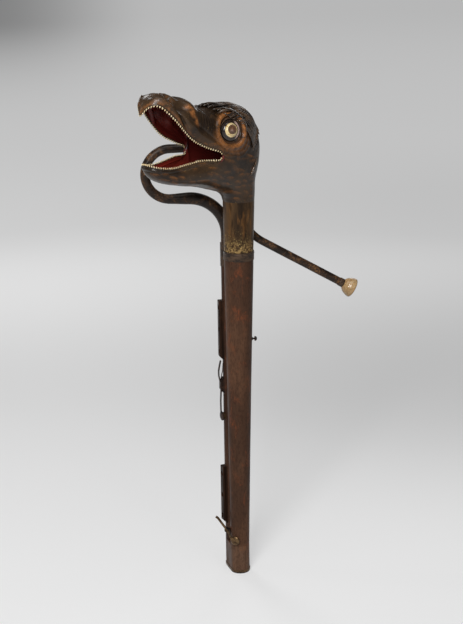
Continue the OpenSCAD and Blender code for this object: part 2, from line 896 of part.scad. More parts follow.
// Lips, from the middle of the front to the corner of the mouth
upper_lip = [
  [242, 0, 180], [232, 16, 201], [216, 31, 202], [192, 44, 177], [158, 47, 141], [122, 49, 122],
  [96, 54, 110], [88, 55, 103]
];
lower_lip = [
  [231, 0, 95], [227, 14, 93], [214, 25, 89.5], [190, 31, 87], [160, 34.5, 90.5], [128, 40, 95],
  [97, 51, 94], [88, 55, 103]
];

// Point at the share u of a smooth curve through a list of points
function knot(p, i) =
  i < 0 ? 2 * p[0] - p[1] : i >= len(p) ? 2 * p[len(p) - 1] - p[len(p) - 2] : p[i];
function curve(p, u) =
  let (x = min(max(u, 0), 0.99999) * (len(p) - 1), i = floor(x), t = x - i)
  let (a = knot(p, i - 1), b = knot(p, i), c = knot(p, i + 1), d = knot(p, i + 2))
  0.5 * (2 * b + (c - a) * t + (2 * a - 5 * b + 4 * c - d) * t * t + (3 * b - a - 3 * c + d) * t * t * t);
function ease(x) = let (t = min(max(x, 0), 1)) t * t * (3 - 2 * t);
function bell(x) = exp(-x * x);

// Angle 0 is the crown, 90 the left cheek, 180 the throat
function lip_point(angle) =
  let (a = (angle % 360 + 360) % 360, side = a > 180 ? -1 : 1, b = a > 180 ? 360 - a : a)
  let (p = b <= 90 ? curve(upper_lip, b / 90) : curve(lower_lip, (180 - b) / 90))
  [p[0], side * p[1], p[2]];
function ring_point(s, angle) =
  let (c = cos(angle), n = sin(angle), q = 1 - 0.22 * ease(s * 1.6))
  let (cheek = curve(cheek_line, s), end = c > 0 ? curve(crown_line, s) : curve(throat_line, s))
  let (along = pow(abs(c), q), out = sign(n) * pow(abs(n), q))
  [cheek[0] + (end[0] - cheek[0]) * along, cheek[1] * out, cheek[2] + (end[1] - cheek[2]) * along];
function skin_base(s, angle) =
  let (w = ease((s - 0.5) / 0.5))
  ring_point(s, angle) + w * (lip_point(angle) - ring_point(1, angle));
// The rings are evened out along their length, most at half way
spread = 26;
function skin_even(s, angle) =
  let (d = spread * pow(sin(180 * s), 0.8))
  (skin_base(s, angle - d) + skin_base(s, angle - d / 2) + skin_base(s, angle)
    + skin_base(s, angle + d / 2) + skin_base(s, angle + d)) / 5;

// Eyes, each on a flat bed of the skin
eye_at = [61, 45, 147];
eye_normal = [0.2, 0.96, 0.14] / norm([0.2, 0.96, 0.14]);
eye_bed = 23.5;
function eye_shift(p) =
  let (side = p[1] < 0 ? -1 : 1, q = [p[0], abs(p[1]), p[2]], rel = q - eye_at)
  let (depth = rel * eye_normal, d = norm(rel - depth * eye_normal))
  let (w = abs(depth) > 40 ? 0 : ease((37 - d) / (37 - eye_bed)))
  let (lift = 3.5 * bell((d - 31) / 6) * (abs(depth) > 40 ? 0 : 1))
  let (move = (lift - depth * w) * eye_normal)
  [move[0], side * move[1], move[2]];
// Roll of the upper lip and the swelling of the nose behind its tip
function lip_roll(s, angle) =
  let (b = abs((angle + 180) % 360 - 180))
  b < 90 ? 4 * bell((s - 0.93) / 0.035) * ease((88 - b) / 30) : 0;
function skin(s, angle) =
  let (p = skin_even(s, angle), roll = lip_roll(s, angle))
  p + eye_shift(p) + [0, sign(sin(angle)) * roll * abs(sin(angle)), roll * 0.7];

rings = 34;
spokes = 48;
function skin_normal(s, angle) =
  let (e = 0.004, s0 = max(s - e, 0), s1 = min(s + e, 1))
  let (v = cross(skin(s1, angle) - skin(s0, angle), skin(s, angle + 1) - skin(s, angle - 1)))
  v / norm(v);
// More rings near the lips, where the form turns fastest
function ring_s(k) = k / (rings - 1);
module head_shell() {
  outer = [for (k = [0 : rings - 1], j = [0 : spokes - 1]) skin(ring_s(k), 360 * j / spokes)];
  inner = [for (k = [0 : rings - 1], j = [0 : spokes - 1])
    let (s = ring_s(k), a = 360 * j / spokes, n = skin_normal(s, a))
    skin(s, a) - head_wall * (k == 0 ? [n[0], n[1], 0] / norm([n[0], n[1]]) : n)];
  count = rings * spokes;
  faces = concat(
    [for (k = [0 : rings - 2]) each band(0, k, spokes, true)],
    [for (k = [0 : rings - 2]) each band(count, k, spokes, false)],
    rim(0, count, spokes, false),
    rim(count - spokes, 2 * count - spokes, spokes, true)
  );
  polyhedron(concat(outer, inner), faces);
}

module head_frame() {
  on_bell(bell_tube_len + neck_h)
    rotate([0, 0, 180 + head_turn])
      children();
}

module dragon_head() {
  color(dark)
    head_frame()
      translate([0, 0, tiny])
        head_shell();
}

// Row of teeth on a lip, from one corner of the mouth to the other. Its stations lie on the
// straight edges between the points of the lip.
function rim_mix(a, from, to) = let (x = a * spokes / 360, t = x - floor(x)) from + (to - from) * t;
function rim_angle(a, step) = (floor(a * spokes / 360) + step) * 360 / spokes;
function lip_edge(a) = rim_mix(a, skin(1, rim_angle(a, 0)), skin(1, rim_angle(a, 1)));
function lip_in(a) = let (b = rim_angle(a, 0), c = rim_angle(a, 1))
  rim_mix(a, skin_normal(1, b), skin_normal(1, c)) * head_wall;
function tooth_station(i, n, from, to, root, tip) =
  let (a = from + (to - from) * i / (2 * n), p = lip_edge(a), n0 = lip_in(a))
  let (e = p - skin(0.985, a), out = e / norm(e), h = i % 2 == 1 ? tip : root)
  [p + out * 2 * seam, p + out * h, p + out * h - n0, p + out * 2 * seam - n0];
module tooth_row(n, from, to) {
  last = 2 * n;
  pts = [for (i = [0 : last]) each tooth_station(i, n, from, to, tooth_h * 0.45, tooth_h)];
  faces = concat(
    [[0, 1, 2, 3], [last * 4 + 3, last * 4 + 2, last * 4 + 1, last * 4]],
    [for (i = [0 : last - 1], j = [0 : 3])
      let (a = 4 * i + j, b = 4 * i + (j + 1) % 4)
      each [[a, a + 4, b + 4], [a, b + 4, b]]]
  );
  polyhedron(pts, faces);
}
module upper_teeth() { color(cream) head_frame() translate([0, 0, tiny]) tooth_row(upper_teeth_n, -80, 80); }
module lower_teeth() { color(cream) head_frame() translate([0, 0, tiny]) tooth_row(lower_teeth_n, 100, 260); }

// Domed eye on its bed
module eye(side) {
  ball = (eye_r * eye_r + eye_h * eye_h) / (2 * eye_h);
  turn_z = atan2(side * eye_normal[1], eye_normal[0]);
  turn_y = acos(eye_normal[2]);
  color(cream)
    head_frame()
      translate([eye_at[0], side * eye_at[1], eye_at[2]])
        rotate([0, turn_y, turn_z])
          translate([0, 0, 5 * seam])
            intersection() {
              translate([0, 0, eye_h - ball])
                sphere(ball);
              cylinder(h = eye_h + 1, r = eye_r + 1);
            }
}
module left_eye() { eye(1); }
module right_eye() { eye(-1); }

// Locks of hair on the crown, brushed back from above the eyes and down the nape. Each row gives
// its place along the skin, the angles of its locks and their length; a lock is a chain of balls
// from its root forward to its lifted tip.
lock_rows = [
  [0.57, [-33, -11, 11, 33], 0.12],
  [0.485, [-46, -23, 0, 23, 46], 0.11],
  [0.4, [-56, -33, -11, 11, 33, 56], 0.11],
  [0.31, [-46, -23, 0, 23, 46], 0.11],
  [0.22, [-33, -11, 11, 33], 0.1]
];
lock_fine = 8;
lock_knots = [0, 0.5, 1];
function lock_point(s0, a0, len, turn, t) =
  let (s = s0 - len * t, a = a0 + turn * sin(150 * t))
  skin(s, a) + skin_normal(s, a) * (lock_lift * (t * t - 0.2));
function lock_size(t) = lock_r * (0.8 + 0.6 * t - 1.1 * t * t);
module lock(s0, a0, len, turn) {
  for (k = [1 : len(lock_knots) - 1])
    hull()
      for (t = [lock_knots[k - 1], lock_knots[k]])
        translate(lock_point(s0, a0, len, turn, t))
          sphere(lock_size(t), $fn = lock_fine);
}
// The head's outer skin as a filled body, grown by a seam, to cut what sits on it
module head_core() {
  pts = [for (k = [0 : rings - 1], j = [0 : spokes - 1])
    let (s = ring_s(k), a = 360 * j / spokes)
    skin(s, a) + seam * (k == 0 ? [0, 0, 0] : skin_normal(s, a))];
  faces = concat(
    [for (k = [0 : rings - 2]) each band(0, k, spokes, true)],
    [[for (j = [0 : spokes - 1]) spokes - 1 - j]],
    [for (j = [1 : spokes - 2]) [for (i = [0, j, j + 1]) (rings - 1) * spokes + i]]
  );
  polyhedron(pts, faces);
}
module crest_hair() {
  color(black)
    head_frame()
      difference() {
        union()
          for (row = lock_rows, a = row[1])
            lock(row[0], a, row[2], a == 0 ? 9 : a > 0 ? -11 : 11);
        head_core();
      }
}

butt_shell();
butt_cap();
foot_bead();
bell_tube();
wing_tube();
bell_collar();
wing_ferrule();
upper_block();
lower_block();
key1_seat();
key1_saddle();
key1_axle();
key1_lever();
key1_pad();
key1_spring();
key2_seat();
key2_saddle();
key2_axle();
key2_lever();
key2_pad();
key2_spring();
key2_spring_screw();
strap_button();
crook();
crook_tenon();
crook_collar();
mouthpiece();
neck();
dragon_head();
upper_teeth();
lower_teeth();
crest_hair();
left_eye();
right_eye();
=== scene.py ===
import bpy
import math
import numpy as np
from mathutils import Matrix, Vector


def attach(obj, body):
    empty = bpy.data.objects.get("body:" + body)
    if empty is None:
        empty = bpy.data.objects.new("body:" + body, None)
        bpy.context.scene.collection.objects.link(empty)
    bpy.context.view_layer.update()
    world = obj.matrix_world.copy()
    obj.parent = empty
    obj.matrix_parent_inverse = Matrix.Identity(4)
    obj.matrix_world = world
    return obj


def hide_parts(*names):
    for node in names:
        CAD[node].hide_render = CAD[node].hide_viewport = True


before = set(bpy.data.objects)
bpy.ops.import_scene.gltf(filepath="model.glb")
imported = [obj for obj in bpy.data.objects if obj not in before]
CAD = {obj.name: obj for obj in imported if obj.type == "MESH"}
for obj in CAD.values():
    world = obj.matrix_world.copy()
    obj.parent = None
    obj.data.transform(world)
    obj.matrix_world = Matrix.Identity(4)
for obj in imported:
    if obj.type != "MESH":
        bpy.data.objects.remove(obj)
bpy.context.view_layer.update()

MM = 0.001


# ---------------------------------------------------------------- small mesh helpers

def make_mesh(name, verts, faces, mat=None, smooth=True):
    """Mesh object from points in millimetres and faces."""
    me = bpy.data.meshes.new(name)
    me.from_pydata((np.asarray(verts, float) * MM).tolist(), [], [tuple(f) for f in faces])
    me.validate()
    me.polygons.foreach_set("use_smooth", [smooth] * len(me.polygons))
    me.update()
    ob = bpy.data.objects.new(name, me)
    bpy.context.scene.collection.objects.link(ob)
    if mat:
        me.materials.append(mat)
    return ob


def grid_faces(rows, cols, wrap=True, base=0, flip=False):
    """Quads of a grid of rows by cols points, closed round the columns where wrap is set."""
    i, j = np.meshgrid(np.arange(rows - 1), np.arange(cols if wrap else cols - 1), indexing="ij")
    a = base + i * cols + j
    b = base + i * cols + (j + 1) % cols
    q = np.stack([a, b, b + cols, a + cols], -1).reshape(-1, 4)
    return q[:, ::-1] if flip else q


def paint_points(ob, name, rgba):
    """Colour attribute on the points."""
    at = ob.data.color_attributes.new(name, "FLOAT_COLOR", "POINT")
    at.data.foreach_set("color", np.asarray(rgba, np.float32).ravel())


def sweep(points, radii, sides=24, flat=1.0, up=None):
    """Tube through points, with a radius at each; flat scales it along the given up directions."""
    p = np.asarray(points, float)
    t = np.gradient(p, axis=0)
    t /= np.linalg.norm(t, axis=1, keepdims=True)
    if up is None:
        n = np.zeros_like(p)
        ref = np.array([0.0, 0.0, 1.0]) if abs(t[0][2]) < 0.9 else np.array([1.0, 0.0, 0.0])
        n[0] = np.cross(t[0], ref)
        for i in range(len(p)):
            v = n[max(i - 1, 0)] - t[i] * (n[max(i - 1, 0)] @ t[i])
            n[i] = v / np.linalg.norm(v)
    else:
        n = np.asarray(up, float)
        n = n - t * (n * t).sum(1, keepdims=True)
        n /= np.linalg.norm(n, axis=1, keepdims=True)
    b = np.cross(t, n)
    a = np.linspace(0, 2 * math.pi, sides, endpoint=False)
    r = np.asarray(radii, float)[:, None, None]
    outward = np.cos(a)[None, :, None] * n[:, None] * flat
    sideways = np.sin(a)[None, :, None] * b[:, None]
    return (p[:, None] + r * (outward + sideways)).reshape(-1, 3)


def hash_noise(p, seed=0):
    """Smooth value noise of 3-D points, from 0 to 1."""
    p = np.asarray(p, float) + seed * 17.31
    i = np.floor(p).astype(np.int64)
    f = p - i
    f = f * f * (3 - 2 * f)
    out = 0
    for dx in (0, 1):
        for dy in (0, 1):
            for dz in (0, 1):
                q = i + np.array([dx, dy, dz])
                h = (q[..., 0] * 73856093) ^ (q[..., 1] * 19349663) ^ (q[..., 2] * 83492791)
                h = (h ^ (h >> 13)) * 1274126177
                h = ((h ^ (h >> 16)) & 0xFFFF) / 65535.0
                w = 1
                for k, far in enumerate((dx, dy, dz)):
                    w = w * (f[..., k] if far else 1 - f[..., k])
                out = out + w * h
    return out


def step(x, lo, hi):
    """Smooth step from 0 at lo to 1 at hi."""
    t = np.clip((x - lo) / (hi - lo), 0, 1)
    return t * t * (3 - 2 * t)


# ---------------------------------------------------------------- materials

def srgb(r, g, b):
    """Linear colour of an 8-bit screen colour."""
    out = []
    for c in (r, g, b):
        c = c / 255
        out.append(c / 12.92 if c <= 0.04045 else ((c + 0.055) / 1.055) ** 2.4)
    return (*out, 1.0)


class Mat:
    """Node material with one main shader, and short calls for the nodes that colour it."""

    def __init__(self, name, rough=0.4, metal=0.0, coat=0.0, coat_rough=0.1, spec=0.3):
        self.m = bpy.data.materials.new(name)
        self.m.use_nodes = True
        self.t = self.m.node_tree
        self.b = self.t.nodes["Principled BSDF"]
        self.b.inputs["Roughness"].default_value = rough
        self.b.inputs["Metallic"].default_value = metal
        self.b.inputs["Coat Weight"].default_value = coat
        self.b.inputs["Coat Roughness"].default_value = coat_rough
        self.b.inputs["Specular IOR Level"].default_value = spec
        self.tc = self.t.nodes.new("ShaderNodeTexCoord")

    def node(self, kind, **props):
        n = self.t.nodes.new(kind)
        for k, v in props.items():
            setattr(n, k, v)
        return n

    def link(self, a, b):
        self.t.links.new(a, b)

    def coords(self, scale=(1, 1, 1), rot=(0, 0, 0)):
        m = self.node("ShaderNodeMapping")
        m.inputs["Scale"].default_value = scale
        m.inputs["Rotation"].default_value = rot
        self.link(self.tc.outputs["Object"], m.inputs["Vector"])
        return m.outputs["Vector"]

    def noise(self, scale, detail=4, rough=0.6, stretch=(1, 1, 1), distort=0.0, rot=(0, 0, 0)):
        n = self.node("ShaderNodeTexNoise")
        n.inputs["Scale"].default_value = scale
        n.inputs["Detail"].default_value = detail
        n.inputs["Roughness"].default_value = rough
        n.inputs["Distortion"].default_value = distort
        self.link(self.coords(stretch, rot), n.inputs["Vector"])
        return n.outputs["Fac"]

    def ramp(self, fac, lo, hi, a=0.0, b=1.0):
        """Smooth step of a value from lo to hi, giving a to b."""
        n = self.node("ShaderNodeMapRange", interpolation_type="SMOOTHSTEP")
        n.inputs["From Min"].default_value = lo
        n.inputs["From Max"].default_value = hi
        n.inputs["To Min"].default_value = a
        n.inputs["To Max"].default_value = b
        self.link(fac, n.inputs["Value"])
        return n.outputs["Result"]

    def math(self, op, a, b=0.0):
        n = self.node("ShaderNodeMath", operation=op)
        for s, v in zip(n.inputs, (a, b)):
            if isinstance(v, (int, float)):
                s.default_value = v
            else:
                self.link(v, s)
        return n.outputs[0]

    def mix(self, fac, a, b):
        n = self.node("ShaderNodeMix", data_type="RGBA")
        for s, v in ((n.inputs[0], fac), (n.inputs[6], a), (n.inputs[7], b)):
            if isinstance(v, (int, float, tuple)):
                s.default_value = v
            else:
                self.link(v, s)
        return n.outputs[2]

    def stain(self, c, where, weight, colour):
        """Colour c with another laid over it, where a mask says, at a weight."""
        return self.mix(self.math("MULTIPLY", where, weight), c, colour)

    def axis(self, k):
        """Coordinate 0, 1 or 2 of the object, in metres."""
        n = self.node("ShaderNodeSeparateXYZ")
        self.link(self.tc.outputs["Object"], n.inputs[0])
        return n.outputs[k]

    def attribute(self, name):
        """The three masks that are painted on the points."""
        n = self.node("ShaderNodeAttribute", attribute_name=name)
        s = self.node("ShaderNodeSeparateColor")
        self.link(n.outputs["Color"], s.inputs[0])
        return s.outputs[0], s.outputs[1], s.outputs[2]

    def colour(self, c):
        self.link(c, self.b.inputs["Base Color"])

    def roughness(self, r):
        self.link(r, self.b.inputs["Roughness"])

    def bump(self, height, strength=0.2, dist=0.001):
        n = self.node("ShaderNodeBump")
        n.inputs["Strength"].default_value = strength
        n.inputs["Distance"].default_value = dist
        self.link(height, n.inputs["Height"])
        self.link(n.outputs["Normal"], self.b.inputs["Normal"])


def tube_paint(name, light, dark, red, rough=0.36):
    """Old japanned paint on a metal tube: lengthwise streaks, brown to red, chips and scratches."""
    k = Mat(name, spec=0.09)
    broad = k.noise(14, 3, 0.55, (1, 1, 0.3))
    streak = k.noise(90, 4, 0.6, (1, 1, 0.05), 0.3)
    fine = k.noise(300, 4, 0.7, (1, 1, 0.35))
    patch = k.noise(46, 5, 0.7, (1, 1, 0.6), 0.6)
    chip = k.noise(330, 2, 0.5)
    chip_where = k.noise(14, 2, 0.5)
    c = k.mix(k.ramp(broad, 0.4, 0.6), dark, light)
    c = k.stain(c, k.ramp(streak, 0.5, 0.66), 0.3, dark)
    c = k.stain(c, k.ramp(fine, 0.46, 0.62), 0.4, srgb(40, 27, 20))
    rubbed = k.math("MULTIPLY", k.ramp(patch, 0.52, 0.66), k.ramp(fine, 0.36, 0.56, 0.75, 0.2))
    c = k.mix(rubbed, c, red)
    chips = k.math("MULTIPLY", k.ramp(chip, 0.7, 0.74), k.ramp(chip_where, 0.5, 0.62))
    c = k.stain(c, chips, 0.7, srgb(18, 14, 12))
    k.colour(c)
    k.roughness(k.ramp(k.noise(60, 4, 0.6, (1, 1, 0.2)), 0.3, 0.7, rough - 0.08, rough + 0.12))
    height = k.math("ADD", k.math("MULTIPLY", fine, 0.5), k.math("MULTIPLY", chips, -0.8))
    k.bump(height, 0.16, 0.0006)
    return k.m


def iron_paint(name):
    """Blackened iron with brown rust and rubbed edges."""
    k = Mat(name, rough=0.42, metal=0.1, spec=0.25)
    a = k.noise(160, 5, 0.65)
    b = k.noise(700, 3, 0.6)
    c = k.mix(k.ramp(a, 0.4, 0.65), srgb(30, 25, 23), srgb(66, 46, 36))
    c = k.stain(c, k.ramp(b, 0.58, 0.76), 0.5, srgb(128, 104, 84))
    k.colour(c)
    k.roughness(k.ramp(a, 0.3, 0.7, 0.32, 0.56))
    k.bump(b, 0.22, 0.0004)
    return k.m


def brass_old(name, c0=(112, 88, 60), c1=(70, 52, 36), c2=(176, 142, 96), metal=0.7):
    """Dull old brass, brown in the hollows."""
    k = Mat(name, rough=0.38, metal=metal)
    a = k.noise(90, 5, 0.65, distort=0.4)
    b = k.noise(600, 3, 0.6)
    c = k.mix(k.ramp(a, 0.36, 0.62), srgb(*c1), srgb(*c0))
    c = k.stain(c, k.ramp(b, 0.54, 0.74), 0.6, srgb(*c2))
    k.colour(c)
    k.roughness(k.ramp(a, 0.3, 0.7, 0.46, 0.3))
    k.bump(b, 0.15, 0.0003)
    return k.m


def wood_dark(name):
    """Dark stained block: grain along its length, rubbed brown on the face."""
    k = Mat(name, spec=0.09)
    ring = k.node("ShaderNodeTexWave", wave_type="BANDS", bands_direction="X")
    ring.inputs["Scale"].default_value = 60
    ring.inputs["Distortion"].default_value = 9
    ring.inputs["Detail"].default_value = 4
    ring.inputs["Detail Scale"].default_value = 1.6
    k.link(k.coords((1, 1, 0.06)), ring.inputs["Vector"])
    pore = k.noise(900, 2, 0.5, (1, 1, 0.05))
    wear = k.noise(40, 4, 0.6, (1, 1, 0.5))
    c = k.mix(ring.outputs["Fac"], srgb(30, 20, 15), srgb(54, 36, 26))
    c = k.stain(c, k.ramp(wear, 0.5, 0.7), 0.5, srgb(74, 48, 33))
    c = k.stain(c, k.ramp(pore, 0.6, 0.75), 0.6, srgb(16, 12, 10))
    k.colour(c)
    k.roughness(k.ramp(wear, 0.3, 0.7, 0.48, 0.34))
    k.bump(k.math("ADD", ring.outputs["Fac"], pore), 0.2, 0.0004)
    return k.m


def ivory_mat(name):
    """Polished ivory with faint brown grain."""
    k = Mat(name, rough=0.3, coat=0.25, coat_rough=0.12)
    k.b.inputs["Subsurface Weight"].default_value = 0.12
    k.b.inputs["Subsurface Radius"].default_value = (0.004, 0.002, 0.001)
    grain = k.noise(80, 4, 0.55, (1, 1, 1), 1.2)
    lines = k.noise(900, 2, 0.5, (0.2, 1, 1))
    c = k.mix(k.ramp(grain, 0.35, 0.7), srgb(180, 150, 108), srgb(158, 124, 82))
    c = k.stain(c, k.ramp(lines, 0.6, 0.8), 0.3, srgb(150, 116, 74))
    k.colour(c)
    k.bump(lines, 0.06, 0.0003)
    return k.m


def leather_mat(name):
    """Pale pad leather with pores and soiled patches."""
    k = Mat(name, rough=0.8)
    pores = k.noise(1400, 3, 0.6)
    soil = k.noise(220, 4, 0.6)
    c = k.mix(k.ramp(soil, 0.35, 0.7), srgb(196, 172, 134), srgb(140, 110, 78))
    c = k.stain(c, k.ramp(pores, 0.55, 0.72), 0.5, srgb(104, 80, 56))
    k.colour(c)
    k.bump(pores, 0.4, 0.0003)
    return k.m


# Heights on the neck, in metres, between which the gold flakes and the gold spots fade out
FLAKE_Z = (0.688, 0.722)
SPOT_Z = (0.70, 0.74)


def neck_paint(name):
    """Bronze-brown paint with long soft strokes, flaked to gold at the foot."""
    k = Mat(name, spec=0.1)
    broad = k.noise(16, 4, 0.6, (1, 1, 0.4))
    stroke = k.noise(130, 4, 0.6, (1, 1, 0.16), 0.8)
    shade = k.noise(150, 3, 0.6, (1, 1, 0.2))
    fleck = k.noise(260, 5, 0.7, (1, 1, 0.7))
    spot = k.noise(420, 2, 0.5)
    z = k.axis(2)
    c = k.mix(k.ramp(broad, 0.38, 0.62), srgb(42, 31, 21), srgb(86, 64, 42))
    c = k.stain(c, k.ramp(stroke, 0.5, 0.66), 0.6, srgb(112, 76, 42))
    c = k.stain(c, k.ramp(shade, 0.52, 0.66), 0.6, srgb(30, 22, 15))
    gold = k.math("MULTIPLY", k.ramp(z, *FLAKE_Z, 1.0, 0.0), k.ramp(fleck, 0.47, 0.56))
    c = k.stain(c, gold, 0.85, srgb(164, 134, 86))
    spots = k.math("MULTIPLY", k.ramp(z, *SPOT_Z, 1.0, 0.0), k.ramp(spot, 0.64, 0.68))
    c = k.mix(spots, c, srgb(190, 162, 104))
    k.colour(c)
    k.roughness(k.ramp(stroke, 0.3, 0.7, 0.28, 0.42))
    k.bump(k.math("ADD", stroke, k.math("MULTIPLY", gold, 1.2)), 0.2, 0.0006)
    return k.m


def head_paint(name):
    """Glossy dark bronze paint. The masks are copper rubs with a painted highlight on the forward
    edge of the eye rims, feathery strokes, and painted shade in the hollows and creases.
    """
    k = Mat(name, coat=0.22, coat_rough=0.12, spec=0.15)
    copper, stroke, hollow_shade = k.attribute("marks")
    broad = k.noise(13, 4, 0.6, distort=0.5)
    mid = k.noise(55, 5, 0.65, distort=0.3)
    fine = k.noise(300, 4, 0.7)
    speck = k.noise(520, 2, 0.5)
    c = k.mix(k.ramp(broad, 0.36, 0.64), srgb(38, 27, 18), srgb(68, 51, 35))
    c = k.stain(c, k.ramp(mid, 0.55, 0.72), 0.45, srgb(88, 62, 38))
    c = k.stain(c, k.ramp(fine, 0.5, 0.75), 0.4, srgb(28, 23, 19))
    # copper rubs, with the painted highlight on the forward edge of the eye rims
    copper_weight = k.math("MULTIPLY", copper, k.ramp(mid, 0.25, 0.6, 0.45, 1.0))
    c = k.mix(copper_weight, c, k.mix(k.ramp(fine, 0.35, 0.7), srgb(168, 110, 62), srgb(108, 66, 36)))
    st = k.math("MULTIPLY", stroke, k.ramp(fine, 0.25, 0.6, 0.5, 1.0))
    c = k.stain(c, st, 0.9, srgb(132, 84, 42))
    # painted shade: near black in the eye's grooves, the crease behind the front lobe, the groove
    # over the bridge and the troughs of its wrinkles
    c = k.stain(c, hollow_shade, 0.9, srgb(16, 13, 11))
    c = k.stain(c, k.ramp(speck, 0.72, 0.76), 0.8, srgb(196, 158, 98))
    k.colour(c)
    k.roughness(k.ramp(mid, 0.3, 0.7, 0.3, 0.44))
    height = k.math("ADD", k.math("MULTIPLY", mid, 0.7), k.math("MULTIPLY", fine, 0.35))
    k.bump(height, 0.22, 0.0009)
    return k.m


def red_paint(name):
    """Matt red lead paint of the mouth. The masks are painted shade, darker further into the throat
    and under the upper jaw, and a stripe of painted shade along the crease where the jaws join.
    """
    k = Mat(name, coat=0.3, coat_rough=0.3)
    throat_shade, _, crease_shade = k.attribute("marks")
    broad = k.noise(22, 4, 0.6)
    fine = k.noise(260, 4, 0.65)
    c = k.mix(k.ramp(broad, 0.35, 0.65), srgb(120, 34, 26), srgb(150, 52, 38))
    c = k.stain(c, k.ramp(fine, 0.52, 0.72), 0.4, srgb(84, 20, 16))
    # painted shade: darker red further into the throat and under the upper jaw
    c = k.stain(c, throat_shade, 0.85, srgb(66, 14, 11))
    # painted shade: a nearly black stripe along the crease where the jaws join
    c = k.mix(crease_shade, c, srgb(20, 6, 6))
    k.colour(c)
    k.roughness(k.ramp(fine, 0.3, 0.7, 0.42, 0.6))
    k.bump(k.math("ADD", broad, fine), 0.2, 0.0006)
    return k.m


def hair_paint(name):
    """Glossy black-brown paint of the carved hair, rubbed to copper at some tips."""
    k = Mat(name, coat=0.55, coat_rough=0.08, spec=0.3)
    tip, _, _ = k.attribute("marks")
    a = k.noise(70, 4, 0.6)
    f = k.noise(480, 3, 0.6)
    c = k.mix(k.ramp(a, 0.4, 0.66), srgb(34, 27, 22), srgb(82, 64, 48))
    c = k.mix(k.math("MULTIPLY", tip, k.ramp(a, 0.4, 0.62, 0.2, 0.8)), c, srgb(112, 78, 48))
    k.colour(c)
    k.roughness(k.ramp(f, 0.3, 0.7, 0.22, 0.36))
    k.bump(f, 0.15, 0.0004)
    return k.m


def tooth_paint(name):
    """Cream paint of the teeth, chipped to brown."""
    k = Mat(name, rough=0.36, coat=0.3, coat_rough=0.2)
    a = k.noise(180, 4, 0.6)
    b = k.noise(900, 2, 0.5)
    c = k.mix(k.ramp(a, 0.4, 0.66), srgb(240, 222, 182), srgb(214, 184, 132))
    c = k.stain(c, k.ramp(b, 0.62, 0.72), 0.6, srgb(110, 76, 44))
    k.colour(c)
    k.bump(b, 0.15, 0.0003)
    return k.m


def eye_paint(name):
    """Painted eye: marks give cream, brown, and the pale corner with a painted highlight at the
    centre of the pupil.
    """
    k = Mat(name, rough=0.24, coat=0.7, coat_rough=0.06)
    cream, brown, pale = k.attribute("marks")
    n = k.noise(260, 4, 0.6)
    c = k.mix(k.ramp(n, 0.35, 0.7), srgb(30, 22, 18), srgb(52, 38, 30))
    c = k.mix(cream, c, k.mix(k.ramp(n, 0.4, 0.7), srgb(238, 216, 164), srgb(204, 164, 98)))
    c = k.mix(brown, c, k.mix(k.ramp(n, 0.4, 0.7), srgb(120, 86, 62), srgb(78, 50, 36)))
    # pale corner of the eye, and the painted highlight in the pupil
    c = k.mix(pale, c, srgb(206, 176, 164))
    k.colour(c)
    k.bump(n, 0.08, 0.0003)
    return k.m


def collar_metal(name, hi=(104, 84, 66)):
    """Dark sheet metal with rings of wear."""
    k = Mat(name, rough=0.4, metal=0.1, spec=0.22)
    a = k.noise(60, 5, 0.65, (1, 1, 2.5))
    b = k.noise(520, 3, 0.6, (1, 1, 3))
    c = k.mix(k.ramp(a, 0.38, 0.64), srgb(44, 35, 29), srgb(82, 64, 50))
    c = k.stain(c, k.ramp(b, 0.54, 0.72), 0.5, srgb(*hi))
    k.colour(c)
    k.roughness(k.ramp(a, 0.3, 0.7, 0.3, 0.48))
    k.bump(b, 0.15, 0.0003)
    return k.m


def crook_paint(name):
    """Dark brown paint of the crook, rubbed through to copper in patches."""
    k = Mat(name, spec=0.2)
    a = k.noise(45, 5, 0.65, distort=0.5)
    b = k.noise(240, 4, 0.7)
    c = k.mix(k.ramp(a, 0.4, 0.62), srgb(34, 26, 21), srgb(62, 45, 34))
    copper_weight = k.math("MULTIPLY", k.ramp(a, 0.48, 0.62), k.ramp(b, 0.46, 0.6))
    c = k.stain(c, copper_weight, 0.75, srgb(124, 88, 52))
    k.colour(c)
    k.roughness(k.ramp(a, 0.3, 0.7, 0.3, 0.46))
    k.bump(b, 0.18, 0.0005)
    return k.m


TUBE = tube_paint("tube_paint", srgb(104, 73, 54), srgb(76, 53, 40), srgb(124, 68, 42))
WING = tube_paint("wing_paint", srgb(92, 64, 48), srgb(62, 42, 32), srgb(116, 66, 44))
BUTT = tube_paint("butt_paint", srgb(112, 84, 66), srgb(80, 56, 42), srgb(128, 84, 58), rough=0.4)
IRON = iron_paint("iron_worn")
BRASS = brass_old("brass_old")
FOOT = brass_old("brass_foot", (96, 74, 50), (58, 42, 30), (156, 122, 82), 0.5)
WOOD = wood_dark("block_wood")
IVORY = ivory_mat("ivory")
LEATHER = leather_mat("pad_leather")
NECK = neck_paint("neck_bronze")
HEAD = head_paint("head_bronze")
RED = red_paint("mouth_red")
HAIR = hair_paint("hair_black")
TOOTH = tooth_paint("tooth_cream")
EYE = eye_paint("eye_painted")
COLLAR = collar_metal("collar_dark")
CROOK = crook_paint("crook_brown")
CAP = collar_metal("cap_black", (58, 48, 40))
BLACK = iron_paint("button_black")

NODE_MAT = {
    "bell_tube": TUBE, "wing_tube": WING, "butt_shell": BUTT, "butt_cap": CAP, "foot_bead": FOOT,
    "bell_collar": COLLAR, "wing_ferrule": COLLAR, "upper_block": WOOD, "lower_block": WOOD,
    "key1_seat": BRASS, "key1_saddle": IRON, "key1_axle": IRON, "key1_lever": IRON,
    "key1_spring": IRON, "key2_seat": BRASS, "key2_saddle": IRON, "key2_axle": IRON,
    "key2_lever": BRASS, "key2_spring": IRON, "key2_spring_screw": BRASS, "strap_button": BLACK,
    "crook_tenon": CROOK, "crook_collar": COLLAR, "mouthpiece": IVORY, "neck": NECK,
}
for node, mat in NODE_MAT.items():
    me = CAD[node].data
    me.materials.clear()
    me.materials.append(mat)


# ---------------------------------------------------------------- camera

